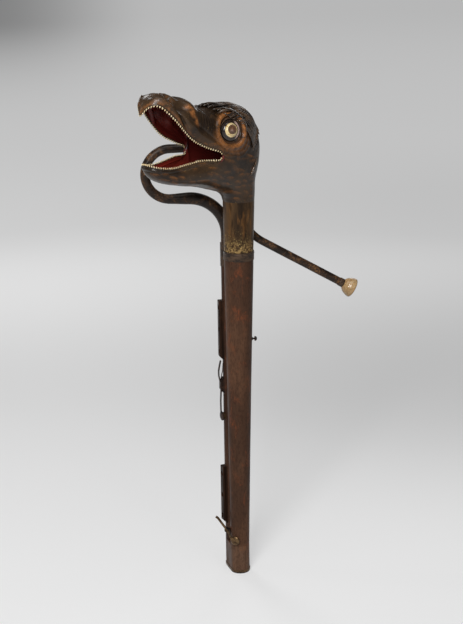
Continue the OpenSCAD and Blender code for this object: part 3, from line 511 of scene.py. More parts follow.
TURN = math.radians(30)
PITCH = math.radians(90 - 14.658)
ROLL = math.radians(-0.93)
CAM_FAR, CAM_HIGH = 2.7, 1.26
LENS, SENSOR = 80.17, 36
cam = bpy.data.objects.new("camera", bpy.data.cameras.new("camera"))
bpy.context.scene.collection.objects.link(cam)
cam.data.sensor_width = SENSOR
cam.data.lens = LENS
cam.location = (-CAM_FAR * math.sin(TURN), -CAM_FAR * math.cos(TURN), CAM_HIGH)
cam.matrix_world = (
    Matrix.Translation(cam.location) @ Matrix.Rotation(-TURN, 4, "Z")
    @ Matrix.Rotation(PITCH, 4, "X") @ Matrix.Rotation(ROLL, 4, "Z")
)
cam.data.clip_end = 200
bpy.context.scene.camera = cam


# ---------------------------------------------------------------- the dragon head's surface
# Its own frame: +X forward, +Y to its left, +Z up, in millimetres, from the top of the neck.

HEAD_TURN = 12
BELL_Y, BUTT_H, BELL_LEN, NECK_H = -19.75, 60.0, 626.0, 100.5
BELL_TOP_Y = -32.25
LEAN = math.atan((BELL_Y - BELL_TOP_Y) / BELL_LEN)
crown_line = np.array([
    [-31, 0], [-33.5, 45], [-42, 88], [-43, 132], [-24, 172], [28, 194], [88, 188], [142, 202],
    [190, 214], [230, 207], [243, 183]], float)
throat_line = np.array([
    [31, 0], [36, 10], [50, 20], [72, 27], [98, 34], [128, 41], [160, 47], [192, 55], [216, 67],
    [229, 82], [231, 95]], float)
cheek_line = np.array([
    [0, 31, 0], [3, 33.5, 22], [8, 39.5, 44], [15, 46, 63], [24, 51, 79], [35, 55, 89],
    [47, 57, 95], [60, 57, 98], [72, 56.5, 100], [81, 56, 101.5], [88, 55, 103]], float)
upper_lip = np.array([
    [241, 0, 184], [232, 16, 201], [216, 31, 202], [192, 44, 177], [158, 47, 141],
    [122, 49, 122], [94, 54, 112], [88, 55, 103]], float)
lower_lip = np.array([
    [231, 0, 95], [227, 14, 93], [214, 25, 89.5], [190, 31, 87], [160, 34.5, 90.5],
    [128, 40, 95], [94, 51, 93.5], [88, 55, 103]], float)
EYE_AT = np.array([61, 45, 147.0])
EYE_N = np.array([0.2, 0.96, 0.14])
EYE_N = EYE_N / np.linalg.norm(EYE_N)
EYE_BED = 23.5
EYE_BLEND = 37
# The skin stops this far along towards the lip, where its rolled edge takes over
EDGE = 0.991


def curve(p, u):
    """Smooth curve through the points p, at u from 0 to 1."""
    n = len(p)
    q = np.vstack([2 * p[0] - p[1], p, 2 * p[-1] - p[-2]])
    x = np.clip(u, 0, 0.99999) * (n - 1)
    i = np.floor(x).astype(int)
    t = (x - i)[..., None]
    a, b, c, d = q[i], q[i + 1], q[i + 2], q[i + 3]
    return 0.5 * (2 * b + (c - a) * t + (2 * a - 5 * b + 4 * c - d) * t * t
                  + (3 * b - a - 3 * c + d) * t * t * t)


def ease(x):
    t = np.clip(x, 0, 1)
    return t * t * (3 - 2 * t)


def bell(x):
    return np.exp(-x * x)


def lip_point(a):
    """Point of the lips at angle a."""
    a = np.mod(a, 360)
    side = np.where(a > 180, -1, 1)
    b = np.where(a > 180, 360 - a, a)
    p = np.where((b <= 90)[..., None], curve(upper_lip, b / 90), curve(lower_lip, (180 - b) / 90))
    return np.stack([p[..., 0], side * p[..., 1], p[..., 2]], -1)


def ring_point(s, a):
    """Point of the rounded section at s, before it is drawn to the lips."""
    r = np.radians(a)
    c, n = np.cos(r), np.sin(r)
    q = 1 - 0.22 * ease(s * 1.6)
    cheek = curve(cheek_line, s)
    end = np.where((c > 0)[..., None], curve(crown_line, s), curve(throat_line, s))
    al, out = np.abs(c) ** q, np.sign(n) * np.abs(n) ** q
    return np.stack([cheek[..., 0] + (end[..., 0] - cheek[..., 0]) * al, cheek[..., 1] * out,
                     cheek[..., 2] + (end[..., 1] - cheek[..., 2]) * al], -1)


def skin_base(s, a):
    w = ease((s - 0.5) / 0.5)[..., None]
    return ring_point(s, a) + w * (lip_point(a) - ring_point(np.ones_like(s), a))


def skin_even(s, a):
    """The skin with its sections evened out round the head."""
    d = 26 * np.power(np.clip(np.sin(np.pi * s), 0, 1), 0.8)
    return sum(skin_base(s, a + d * k) for k in (-1, -0.5, 0, 0.5, 1)) / 5


def eye_frame(p):
    """Side, depth along the eye's normal, and distance from the eye's axis."""
    side = np.where(p[..., 1] < 0, -1, 1)
    q = np.stack([p[..., 0], np.abs(p[..., 1]), p[..., 2]], -1)
    rel = q - EYE_AT
    depth = rel @ EYE_N
    flat = rel - depth[..., None] * EYE_N
    return side, depth, flat


def skin(s, a):
    """Point of the skin, s from the neck to the lip and a round it from the crown, in degrees."""
    s, a = np.broadcast_arrays(np.asarray(s, float) * EDGE, np.asarray(a, float))
    p = skin_even(s, a)
    side, depth, flat = eye_frame(p)
    d = np.linalg.norm(flat, axis=-1)
    far = np.abs(depth) > 40
    w = np.where(far, 0, ease((EYE_BLEND - d) / (EYE_BLEND - EYE_BED)))
    lift = np.where(far, 0, 3.5 * bell((d - 31) / 6))
    mv = (lift - depth * w)[..., None] * EYE_N
    b = np.abs(np.mod(a + 180, 360) - 180)
    roll = np.where(b < 90, 4 * bell((s - 0.93) / 0.035) * ease((88 - b) / 30), 0)
    sn = np.sin(np.radians(a))
    aside = side * mv[..., 1] + np.sign(sn) * roll * np.abs(sn)
    return p + np.stack([mv[..., 0], aside, mv[..., 2] + roll * 0.7], -1)


def skin_normal(s, a):
    """Outward normal of the skin."""
    s, a = np.broadcast_arrays(np.asarray(s, float), np.asarray(a, float))
    e = 0.004
    along = skin(np.minimum(s + e, 1), a) - skin(np.maximum(s - e, 0), a)
    v = np.cross(along, skin(s, a + 1) - skin(s, a - 1))
    return v / np.linalg.norm(v, axis=-1, keepdims=True)


def to_world(p):
    """Head frame to the model's frame, both in millimetres."""
    t = math.radians(180 + HEAD_TURN)
    r = np.array([[math.cos(t), -math.sin(t), 0], [math.sin(t), math.cos(t), 0], [0, 0, 1]])
    c, sn = math.cos(LEAN), math.sin(LEAN)
    x = np.array([[1, 0, 0], [0, c, -sn], [0, sn, c]])
    q = np.asarray(p) @ r.T + np.array([0, 0, BELL_LEN + NECK_H])
    return q @ x.T + np.array([0, BELL_Y, BUTT_H])


# Places of the modelled forms along the head, in millimetres of its +X
CREASE_X, CREASE_LEAN, CREASE_Z, CREASE_WIDE = 172, 0.386, 158, 5.0
SWELLING_X, GROOVE_X, VALLEY_X, BRIDGE_X = 158, 131, 110, 118
DOME_X, LOBE_BACK_X = 206, 170
# Distances of the eye's forms from its axis
RIM_R, RIM_EDGE_R, GROOVE_R, LID_R, BALL_R = 31, 29.5, 25.4, 21.6, 18.3
WRINKLE_RATE = 0.95


def eye_place(p):
    """Whether a point is near the eye, its distance, its two coordinates and its angle there."""
    _, depth, flat = eye_frame(p)
    near = np.abs(depth) < 26
    ex, ez = flat @ np.array([0.979, -0.204, 0.0]), flat[..., 2]
    # the sunken bed is drawn out towards the back and below
    tail = step(-ex, 0, 30) * step(-ez, -6, 26)
    d = np.hypot(ex, ez) / (1 + 0.16 * tail)
    return near, d, ex, ez, np.arctan2(ez, ex)


def nose_relief(s, b, f, z, x, nose, top):
    """Front lobe with its dome and round shoulders, the crease behind it and the two swellings."""
    h = nose * (3.2 * bell((x - 1.6) / 1.2) * step(214 - z, 0, 16)
                - 5.5 * bell((x + 0.35) / 0.75) + 2.0 * bell((x + 2.7) / 1.4))
    h += top * 3.4 * bell((f - SWELLING_X) / 16)
    h += -2.6 * top * bell((f - GROOVE_X) / 9)
    h += -5.5 * top * bell((f - VALLEY_X) / 11) * step(60 - b, 0, 28)
    h += -9.0 * bell((b - 27) / 14) * bell((s - 0.895) / 0.05)
    h += -7.5 * (b < 60) * bell((f - LOBE_BACK_X) / 15) * step(z, 185, 205)
    h += 2.0 * bell((f - DOME_X) / 12) * (b < 60) * step(z, 195, 210)
    return h


def lip_relief(s, b, nose):
    """Grooves that set off the rolled lips, and the roll of the lower one."""
    upper = -1.3 * bell((s - 0.865) / 0.014) * step(s, 0.5, 0.8) * (1 - nose * 0.7)
    lower = -1.0 * bell((s - 0.925) / 0.014) + 0.9 * bell((s - 0.965) / 0.02)
    return np.where(b < 80, upper, 0) + np.where(b > 100, lower, 0)


def eye_relief(near, d, ez, ang):
    """Rim, lids and sunken bed of the eye, and the folds under and behind it."""
    h = near * (2.8 * bell((d - RIM_R) / 4.0) - 2.4 * bell((d - GROOVE_R) / 1.8))
    h += near * (2.8 * bell((d - LID_R) / 2.0)) * (0.6 + 0.4 * np.cos(ang - 2.1))
    h += near * (1.5 * bell((d - 26.8 - 1.5 * np.cos(ang)) / 1.1)) \
        * step(np.cos(ang - 1.9), 0.1, 0.9)
    h += near * 1.9 * bell((d - 23.4) / 0.9) * step(np.cos(ang - 2.1), 0.2, 0.9)
    h += -2.6 * near * bell((d - BALL_R) / 1.6)
    h += -1.6 * near * bell((d - 38) / 3.2) * step(ez, -20, 10)
    h += near * 0.9 * bell((d - 41) / 2.6) * step(-ez, 4, 20)
    h += near * 0.6 * bell((d - 47.5) / 2.2) * step(-ez, 8, 24)
    return h


def feathers(f, z, n2):
    """Mask of copper patches with a combed lower edge, in bands on the jaw, cheek and nape."""
    stroke = np.zeros_like(f)
    rng = np.random.default_rng(7)
    for cz in np.arange(8, 124, 11.5):
        for cf in np.arange(-34, 214, 17.0):
            x0, z0 = cf + 9 * rng.random() + 0.45 * cz, cz + 5 * rng.random()
            ln, wd = 9 + 13 * rng.random(), 3.4 + 2.4 * rng.random()
            tilt = math.radians(2 + 26 * rng.random())
            if rng.random() < 0.3:
                continue
            u = (f - x0) * math.cos(tilt) + (z - z0) * math.sin(tilt)
            v = -(f - x0) * math.sin(tilt) + (z - z0) * math.cos(tilt)
            comb = np.abs(np.mod((u + 0.6 * v) / 3.4 + rng.random(), 1.0) - 0.5) * 2
            edge = (1 - (u / ln) ** 2 - (v / wd) ** 2
                    - 2.2 * comb * step(-v / wd, -0.8, 0.5) + 0.7 * (n2 - 0.5))
            stroke = np.maximum(stroke, step(edge, 0.0, 0.8) * (0.35 + 0.65 * rng.random()))
    return stroke


def detail(s, a, p):
    """Modelled relief along the normal, and the painted marks, at points of the skin."""
    f, o, z = p[..., 0], np.abs(p[..., 1]), p[..., 2]
    b = np.abs(np.mod(a + 180, 360) - 180)
    top = step(z, 140, 165) * (b < 92)
    nose = step(z, 146, 172) * (b < 92)
    x = (f - (CREASE_X + CREASE_LEAN * (z - CREASE_Z))) / CREASE_WIDE
    near, d, ex, ez, ang = eye_place(p)
    h = nose_relief(s, b, f, z, x, nose, top)
    # Back of the skull, under the hair
    h += -6.0 * bell((s - 0.365) / 0.07) * step(100 - b, 10, 60)
    # Fine wrinkles across the bridge, between the swelling and the brow
    bridge = top * bell((f - BRIDGE_X) / 14)
    wave = np.sin((f + 0.35 * (z - 170)) * WRINKLE_RATE)
    h += bridge * 0.9 * wave
    h += lip_relief(s, b, nose)
    h += eye_relief(near, d, ez, ang)
    # Soft unevenness of hand work
    h += 1.3 * (hash_noise(p / 26.0, 1) - 0.5) + 0.5 * (hash_noise(p / 9.0, 2) - 0.5)
    h *= 1 - bell(s / 0.02)
    h *= 1 - 0.9 * bell((s - 1) / 0.02)

    # Painted marks
    n1, n2 = hash_noise(p / 6.0, 3), hash_noise(p / 2.2, 4)
    copper = near * step(n1 + 0.5 * n2, 0.15, 0.7) * (
        1.25 * bell((d - 30) / 4.6) + 0.5 * bell((d - 38) / 6) * step(-ez, -10, 12))
    copper += 1.2 * top * bell((f - (150 + 0.42 * (z - 180))) / 6.5) * step(z, 158, 172) \
        * step(206 - z, 0, 10) * step(n1, 0.2, 0.6)
    copper += 0.55 * bell((f - 196) / 10) * bell((z - 214) / 8) * step(n1, 0.35, 0.6)
    copper += 0.45 * np.where(b < 80, bell((s - 0.985) / 0.02), 0) * step(n1, 0.3, 0.6) \
        * step(f, 110, 200)
    # painted highlight: extra copper on the forward side of the eye rim's edge
    copper += 0.5 * near * bell((d - RIM_EDGE_R) / 2.4) * step(ex, 4, 24)
    # Painted shade: dark rings in the grooves round the eyeball and inside the rim, the crease
    # behind the front lobe, the groove over the bridge and the troughs of its wrinkles
    hollow_shade = near * (0.95 * bell((d - 18.2) / 1.7)
                     + 0.8 * bell((d - GROOVE_R) / 1.2) * step(ez + 0.3 * ex, -12, 6))
    hollow_shade += 0.75 * nose * bell((x + 0.3) / 0.6) + 0.35 * top * bell((f - GROOVE_X) / 7)
    hollow_shade += 0.5 * bridge * step(wave, 0.2, -0.7)
    stroke = feathers(f, z, n2) * (o > 8) * (b > 60)
    marks = [np.clip(m, 0, 1) for m in (copper, stroke, hollow_shade)]
    return h, np.stack([*marks, np.ones_like(f)], -1)


# ---------------------------------------------------------------- head: outer skin, lining, lips

SKIN_GRID = ((340, 480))
LINING_GRID = (150, 220)
LIP_POINTS = 720
# Where the jaws join, with a stripe of painted shade along the crease there, in millimetres of the
# head's +X
JAW_X = 84


def skin_grid(rows, cols, bias=0.0):
    """Skin, its normals, relief and marks on a grid; bias draws the rows to the two ends."""
    sr = np.linspace(0, 1, rows)
    sr = sr + bias * np.sin(2 * np.pi * sr)
    ss, aa = np.meshgrid(sr, np.linspace(0, 360, cols, endpoint=False), indexing="ij")
    pts = skin(ss, aa)
    nrm = skin_normal(ss, aa)
    nrm[0, :, 2] = 0
    nrm[0] /= np.linalg.norm(nrm[0], axis=-1, keepdims=True)
    relief, marks = detail(ss, aa, pts)
    return ss, aa, pts, nrm, relief, marks


def head_skin():
    """Outer sheet of the head, with its modelled relief."""
    _, _, pts, nrm, relief, marks = skin_grid(*SKIN_GRID, 0.01)
    outer = pts + nrm * relief[..., None]
    ob = make_mesh("head_skin", to_world(outer.reshape(-1, 3)), grid_faces(*SKIN_GRID), HEAD)
    paint_points(ob, "marks", marks.reshape(-1, 4))
    return ob


def mouth_lining():
    """Red inside of the head, a little behind the skin."""
    ss, aa, pts, nrm, relief, _ = skin_grid(*LINING_GRID)
    back = 1.6 + (0.6 * hash_noise(pts / 14.0, 6) + 1.4) * np.sin(np.pi * ss) ** 0.5
    back = back - np.minimum(relief, 0) * 1.2
    back = back + 1.2 * bell((pts[..., 0] - JAW_X) / 3.0) * step(ss, 0.3, 0.5)
    inner = (pts - nrm * back[..., None]).reshape(-1, 3)
    ob = make_mesh("mouth_lining", to_world(inner), grid_faces(*LINING_GRID, flip=True), RED)
    b = np.abs(np.mod(aa + 180, 360) - 180)
    # painted shade: darker further into the throat and under the upper jaw
    throat_shade = step(120 - pts[..., 0], -30, 60) + 0.75 * (b < 90) * step(pts[..., 2], 100, 130)
    throat_shade = np.clip(throat_shade, 0, 1)
    # painted shade: a dark stripe along the crease where the jaws join
    crease_shade = 0.9 * bell((pts[..., 0] - JAW_X) / 1.6) * (pts[..., 2] > 96)
    paint_points(ob, "marks", np.stack([throat_shade, 0 * throat_shade, crease_shade, 0 * throat_shade + 1], -1).reshape(-1, 4))
    return ob


def lip_sweep(name, section):
    """Strip along the lips; its section is given outwards over the edge and along the normal."""
    a = np.linspace(0, 360, LIP_POINTS, endpoint=False)
    one = np.ones(LIP_POINTS)
    edge = skin(one, a)
    nrm = skin_normal(one, a)
    over = edge - skin(one * 0.985, a)
    over /= np.linalg.norm(over, axis=1, keepdims=True)
    pts = np.concatenate([edge + over * u + nrm * v for u, v in section])
    return make_mesh(name, to_world(pts), grid_faces(len(section), LIP_POINTS), HEAD)


# Rolled edge that joins the skin and the lining, and the thin bead inside the teeth
ROLLED = [(-1.6, 0.2), (-0.2, 0.75), (0.9, 0.35), (1.25, -0.6), (0.9, -1.6), (-0.2, -1.9),
          (-1.8, -1.8)]
BEAD = [(1.2 + 0.42 * math.cos(q), -0.7 + 0.6 * math.sin(q))
        for q in np.linspace(0, 2 * math.pi, 9)]

head = head_skin()
lining = mouth_lining()
rim = lip_sweep("lip_edge", ROLLED)
gum = lip_sweep("lip_line", BEAD)


# ---------------------------------------------------------------- teeth

TOOTH_TALL, TOOTH_OUT, TOOTH_IN, TOOTH_SIDES = 3.3, 0.9, 0.75, 8
# Height, width and depth of a tooth's sections, as shares of its own
TOOTH_LEVELS = [(-0.6, 1.0, 1.35), (0.35, 1.0, 1.3), (0.68, 0.72, 1.05), (0.9, 0.36, 0.7)]


def tooth(c, out, along, nrm, tall, wide):
    """Points of one small tooth at c, and its faces."""
    pts, n = [], TOOTH_SIDES
    for u, w, d in TOOTH_LEVELS:
        for k in range(n):
            q = 2 * math.pi * k / n
            pts.append(c + out * (TOOTH_OUT + tall * u) + along * wide * w * math.cos(q)
                       - nrm * TOOTH_IN * (1 - d * math.sin(q)))
    pts.append(c + out * (TOOTH_OUT + tall) - nrm * TOOTH_IN)
    tip, last = len(pts) - 1, len(pts) - 1 - n
    faces = list(map(tuple, grid_faces(len(TOOTH_LEVELS), n)))
    faces += [(last + k, last + (k + 1) % n, tip) for k in range(n)]
    faces.append(tuple(range(n - 1, -1, -1)))
    return np.array(pts), faces


def tooth_row(name, count, a0, a1, seed):
    """Row of small pointed teeth along the lip, evenly spaced from angle a0 to a1."""
    dense = np.linspace(a0, a1, 2400)
    pts = skin(np.ones(2400), dense)
    run = np.concatenate([[0], np.cumsum(np.linalg.norm(np.diff(pts, axis=0), axis=1))])
    rng = np.random.default_rng(seed)
    pitch = run[-1] / count
    vs, fs, start = [], [], 0
    for i in range(count):
        at = (i + 0.5) * pitch
        a, a_next = np.interp([at, at + 1], run, dense)
        c, following = skin(np.ones(2), np.array([a, a_next]))
        nrm = skin_normal(np.array([1.0]), np.array([a]))[0]
        out = c - skin(np.array([0.985]), np.array([a]))[0]
        out /= np.linalg.norm(out)
        along = following - c
        along /= np.linalg.norm(along)
        # the teeth grow smaller towards both ends of the row
        fade = min(1, at / 16, (run[-1] - at) / 16)
        tall = (TOOTH_TALL + 0.5 * rng.random()) * (0.62 + 0.38 * fade)
        wide = pitch * (0.27 + 0.05 * rng.random())
        v, f = tooth(c, out, along, nrm, tall, wide)
        vs.append(v)
        fs.extend(tuple(start + k for k in face) for face in f)
        start += len(v)
    return make_mesh(name, to_world(np.concatenate(vs)), fs, TOOTH)


teeth_up = tooth_row("teeth_upper", 80, -86, 86, 12)
teeth_low = tooth_row("teeth_lower", 74, 94, 266, 13)


# ---------------------------------------------------------------- eyes

EYE_EDGE, EYE_DOME = 19.5, 6.4


def eye_piece(name, side):
    """Domed eye, turned on its bed, with a ringed iris and a pupil."""
    rings, spokes = 40, 96
    e1 = np.array([0.979, -0.204, 0.0])
    e1 = e1 - EYE_N * (e1 @ EYE_N)
    e1 /= np.linalg.norm(e1)
    e2 = np.cross(EYE_N, e1)
    e2 = -e2 if e2[2] < 0 else e2
    rad = np.linspace(0.0, EYE_EDGE, rings)
    ang = np.linspace(0, 2 * math.pi, spokes, endpoint=False)
    R, G = np.meshgrid(rad, ang, indexing="ij")
    dome = EYE_DOME * (1 - (R / 21.5) ** 2) - 0.3
    # the iris has a raised ring, the white a groove round it, and the pupil stands out
    dome = dome + 0.55 * bell((R - 9.6) / 0.8) - 0.45 * bell((R - 15.6) / 0.7) + 0.7 * bell(R / 3.2)
    x, y = R * np.cos(G), R * np.sin(G)
    p = EYE_AT + x[..., None] * e1 + y[..., None] * e2 + dome[..., None] * EYE_N
    wob = 0.35 * hash_noise(p / 3.0, 5)
    rw = R + wob - 0.18
    iris = np.hypot(x + 1.5, y - 1.2) + wob - 0.18
    cream = step(iris, 8.8, 9.3) * step(-rw, -13.6, -13.0) * (0.7 + 0.3 * step(x, -6, 6))
    brown = step(-iris, -8.4, -7.8)
    brown = brown * (1 - 0.8 * bell((iris - 5.4) / 0.6))
    pale = step(rw, 15.0, 15.8) * step(-x, 6, 13) * 0.8
    # painted highlight: a pale glint at the centre of the pupil
    pale = pale + 0.5 * bell(R / 1.6)
    p = np.stack([p[..., 0], side * p[..., 1], p[..., 2]], -1)
    ob = make_mesh(name, to_world(p.reshape(-1, 3)), grid_faces(rings, spokes, flip=side < 0), EYE)
    marks = np.stack([cream, brown, np.clip(pale, 0, 1), 0 * cream + 1], -1)
    paint_points(ob, "marks", marks.reshape(-1, 4))
    return ob


eye_l = eye_piece("eye_left", 1)
eye_r = eye_piece("eye_right", -1)


# ---------------------------------------------------------------- carved hair

STRAND_POINTS, STRAND_SIDES = 22, 8
# The strands of the crown end here on the back of the skull, and sooner down its sides
HAIR_END, HAIR_END_SIDE = 0.33, 0.0014


def strand(s0, a0, length, fan, size, lift, wave, phase):
    """One tapered strand of hair that lies on the skin from s0 backwards."""
    t = np.linspace(0, 1, STRAND_POINTS)
    if s0 > HAIR_END + 0.01:
        length = min(length, s0 - HAIR_END - HAIR_END_SIDE * max(0, abs(a0) - 30))
    s = s0 - length * t
    a = a0 + fan * t + wave * np.sin(2 * math.pi * (0.85 * t + phase))
    c, nn = skin(s, a), skin_normal(s, a)
    h, _ = detail(s, a, c)
    tuft = 7.0 * bell((s - 0.585) / 0.035) * step(66 - abs(a0), 0, 30)
    c = c + nn * (h + tuft + lift(t))[:, None]
    r = size * np.sin(np.pi * np.clip(0.1 + 0.88 * t, 0, 1)) ** 0.6 + 0.12
    return sweep(c, r, STRAND_SIDES, 0.8, nn)


def hair_piece():
    """Carved hair: rows of long strands swept back over the crown, with tips that lift."""
    rng = np.random.default_rng(5)
    parts = []
    for row, s0 in enumerate(np.arange(0.61, 0.41, -0.04)):
        reach = 34 + 30 * step(0.61 - s0, 0.0, 0.14)
        half = 0 if row % 2 else 4.8
        for a0 in np.arange(-reach + half, reach + 0.1, 9.6):
            side = math.copysign(1, a0) * step(abs(a0), 6, 44)
            phase = abs(a0) / 90 + 0.12 * row
            length = 0.14 + 0.05 * rng.random()
            thick = (lambda t: 0.4 + 2.4 * t ** 3), 1.6, phase
            thin = (lambda t: 2.0 + 1.0 * t ** 3), 1.7, phase + 0.03
            parts.append(strand(s0, a0, length, 13 * side, 3.4, *thick))
            parts.append(strand(s0 - 0.01, a0 + 4.4, length * 0.9, 13 * side, 1.8, *thin))
    # tips that curl up at the back of the skull, and the thin leaf at the nape
    curl = lambda t: 0.6 + 4.2 * t ** 2.5
    flat = lambda t: 0.2 + 0.8 * np.sin(np.pi * t)
    for side in (-1, 1):
        for k in range(6):
            parts.append(strand(0.42 - 0.004 * k, side * (12 + 8 * k), 0.115, side * 8, 2.8,
                                curl, 2.0, 0.1 * k))
        for k in range(4):
            parts.append(strand(0.272 - 0.004 * k, side * (62 + 2.2 * k), 0.034,
                                side * (24 - 2 * k), 2.7, flat, 0.6, 0.0))
    n, sides = STRAND_POINTS, STRAND_SIDES
    fs, mk = [], []
    for i in range(len(parts)):
        start = i * n * sides
        fs.extend(map(tuple, grid_faces(n, sides, base=start)))
        fs.append(tuple(start + j for j in range(sides - 1, -1, -1)))
        fs.append(tuple(start + (n - 1) * sides + j for j in range(sides)))
        tip = np.repeat(step(np.linspace(0, 1, n), 0.5, 0.95) * rng.random(), sides)
        mk.append(np.stack([tip, 0 * tip, 0 * tip, 0 * tip + 1], -1))
    ob = make_mesh("hair_carved", to_world(np.concatenate(parts)), fs, HAIR)
    paint_points(ob, "marks", np.concatenate(mk))
    return ob


hair = hair_piece()


# ---------------------------------------------------------------- crook

WING_Y = 13.15


def crook_piece():
    """Swept tube of the crook, along the same arcs and runs as its solid."""
    turn = math.radians(-22)
    ferrule_top, rise = 694.0, 17.0
    ra, rb, rc, rd = 75.0, 49.5, 60.0, 90.0
    fall, out = 66.0, 29.8
    fall_len, out_len, loop_run, top_run, tip = 125.5, 190.0, 35.0, 38.3, 5.5
    big, loop, mid, small, wall = 12.3, 9.2, 8.0, 7.8, 1.0
    sn = lambda d: math.sin(math.radians(d))
    cs = lambda d: math.cos(math.radians(d))
    ca = np.array([-ra, ferrule_top + rise])
    cb = np.array([-ra - loop_run, ca[1] + ra + rb])
    cc = np.array([cb[0] + top_run, cb[1] + rb - rc])
    f0 = cc + rc * np.array([sn(fall), cs(fall)])
    f1 = f0 + fall_len * np.array([cs(fall), -sn(fall)])
    cd = f1 + rd * np.array([sn(fall), cs(fall)])
    o0 = cd - rd * np.array([sn(out), cs(out)])
    o1 = o0 + out_len * np.array([cs(out), -sn(out)])
    st = [(0, ferrule_top + rise * 0.5, 90, big)]

    def arc(c, r, h0, h1, r0, r1, side, steps):
        for i in range(steps + 1):
            q = i / steps
            h = h0 + (h1 - h0) * q
            st.append((c[0] + side * r * sn(h), c[1] - side * r * cs(h), h, r0 + (r1 - r0) * q))

    arc(ca, ra, 90, 180, big, big * 0.98, 1, 28)
    arc(cb, rb, 180, 0, loop + 0.4, loop - 0.4, -1, 48)
    arc(cc, rc, 0, -fall, mid, mid, -1, 20)
    arc(cd, rd, -fall, -out, mid, mid * 0.98, 1, 14)
    st.append((o1[0] - tip * cs(out), o1[1] + tip * sn(out), -out, small))
    st = np.array(st)
    pos = st[:, :2]
    run = np.concatenate([[0], np.cumsum(np.linalg.norm(np.diff(pos, axis=0), axis=1))])
    even = np.linspace(0, run[-1], 300)
    xy = np.stack([np.interp(even, run, pos[:, 0]), np.interp(even, run, pos[:, 1])], -1)
    head_dir = np.radians(np.interp(even, run, st[:, 2]))
    rad = np.interp(even, run, st[:, 3])
    ker = np.ones(9) / 9
    rad[4:-4] = np.convolve(rad, ker, "valid")
    rad = rad + 0.12 * (hash_noise(np.stack([even / 22, 0 * even, 0 * even], -1), 3) - 0.5)
    sides = 48
    a = np.linspace(0, 2 * math.pi, sides, endpoint=False)

    def ring(r):
        u = xy[:, 0][:, None] - r[:, None] * np.cos(a) * np.sin(head_dir)[:, None]
        w = xy[:, 1][:, None] + r[:, None] * np.cos(a) * np.cos(head_dir)[:, None]
        v = r[:, None] * np.sin(a) * np.ones_like(u)
        x = u * math.cos(turn) - v * math.sin(turn)
        y = u * math.sin(turn) + v * math.cos(turn) + WING_Y
        return np.stack([x, y, w], -1).reshape(-1, 3)

    n = len(even)
    outer_v, inner_v = ring(rad), ring(rad - wall)
    faces = list(map(tuple, grid_faces(n, sides)))
    faces += list(map(tuple, grid_faces(n, sides, base=n * sides, flip=True)))
    for j in range(sides):
        k = (j + 1) % sides
        faces.append((k, j, n * sides + j, n * sides + k))
        e = (n - 1) * sides
        faces.append((e + j, e + k, n * sides + e + k, n * sides + e + j))
    return make_mesh("crook_tube", np.concatenate([outer_v, inner_v]), faces, CROOK)


crook = crook_piece()


# ---------------------------------------------------------------- pads

# Half of a pad's section: distance from its axis and height, as shares of its own
PAD_HALF = [(0.0, 1.0), (0.35, 1.0), (0.62, 0.96), (0.8, 0.84), (0.9, 0.82), (0.96, 0.72),
            (1.0, 0.4)]
PAD_SIDES, PAD_STITCHES, PAD_EASE = 72, 24, 0.98


def pad_piece(name, node):
    """Crowned leather pad with a puckered edge, made to its node's own place and axis."""
    v = np.array([x.co[:] for x in CAD[node].data.vertices])
    c = v.mean(0)
    # the disc's axis is the direction in which it spreads least
    n = np.linalg.eigh(np.cov((v - c).T))[1][:, 0]
    depth = (v - c) @ n
    rad = np.linalg.norm((v - c) - depth[:, None] * n, axis=1).max()
    lo, hi = depth.min(), depth.max()
    e1 = np.cross(n, [0, 0, 1.0])
    e1 /= np.linalg.norm(e1)
    e2 = np.cross(n, e1)
    a = np.linspace(0, 2 * math.pi, PAD_SIDES, endpoint=False)
    half = (hi - lo) / 2 * PAD_EASE
    section = PAD_HALF + [(r, -d) for r, d in reversed(PAD_HALF)]
    pts = []
    for r, d in section:
        pucker = 1 - 0.012 * (0.78 < r < 0.97) * (1 + np.cos(a * PAD_STITCHES))
        rr = rad * 0.985 * max(r, 0.001) * pucker
        across = np.cos(a)[:, None] * e1 + np.sin(a)[:, None] * e2
        pts.append(c + ((lo + hi) / 2 + half * d) * n + rr[:, None] * across)
    faces = grid_faces(len(section), PAD_SIDES, flip=True)
    return make_mesh(name, np.concatenate(pts) / MM, faces, LEATHER)


pad1 = pad_piece("pad_upper", "key1_pad")
pad2 = pad_piece("pad_lower", "key2_pad")


# ---------------------------------------------------------------- riding and replacing

for ob in (head, lining, rim, gum, teeth_up, teeth_low, eye_l, eye_r, hair):
    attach(ob, "head")
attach(crook, "crook")
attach(pad1, "upper_key")
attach(pad2, "lower_key")
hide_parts("dragon_head")
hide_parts("dragon_head")
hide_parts("upper_teeth")
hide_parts("dragon_head")
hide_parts("upper_teeth", "lower_teeth")
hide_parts("lower_teeth")
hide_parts("left_eye")
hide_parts("right_eye")
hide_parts("crest_hair")
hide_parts("crook")
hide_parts("key1_pad")
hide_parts("key2_pad")


# ---------------------------------------------------------------- floor and light

FLOOR_NEAR, FLOOR_MID = 0.46, 0.33
FLOOR_TONE = (0.42, 0.42, 0.42, 1)


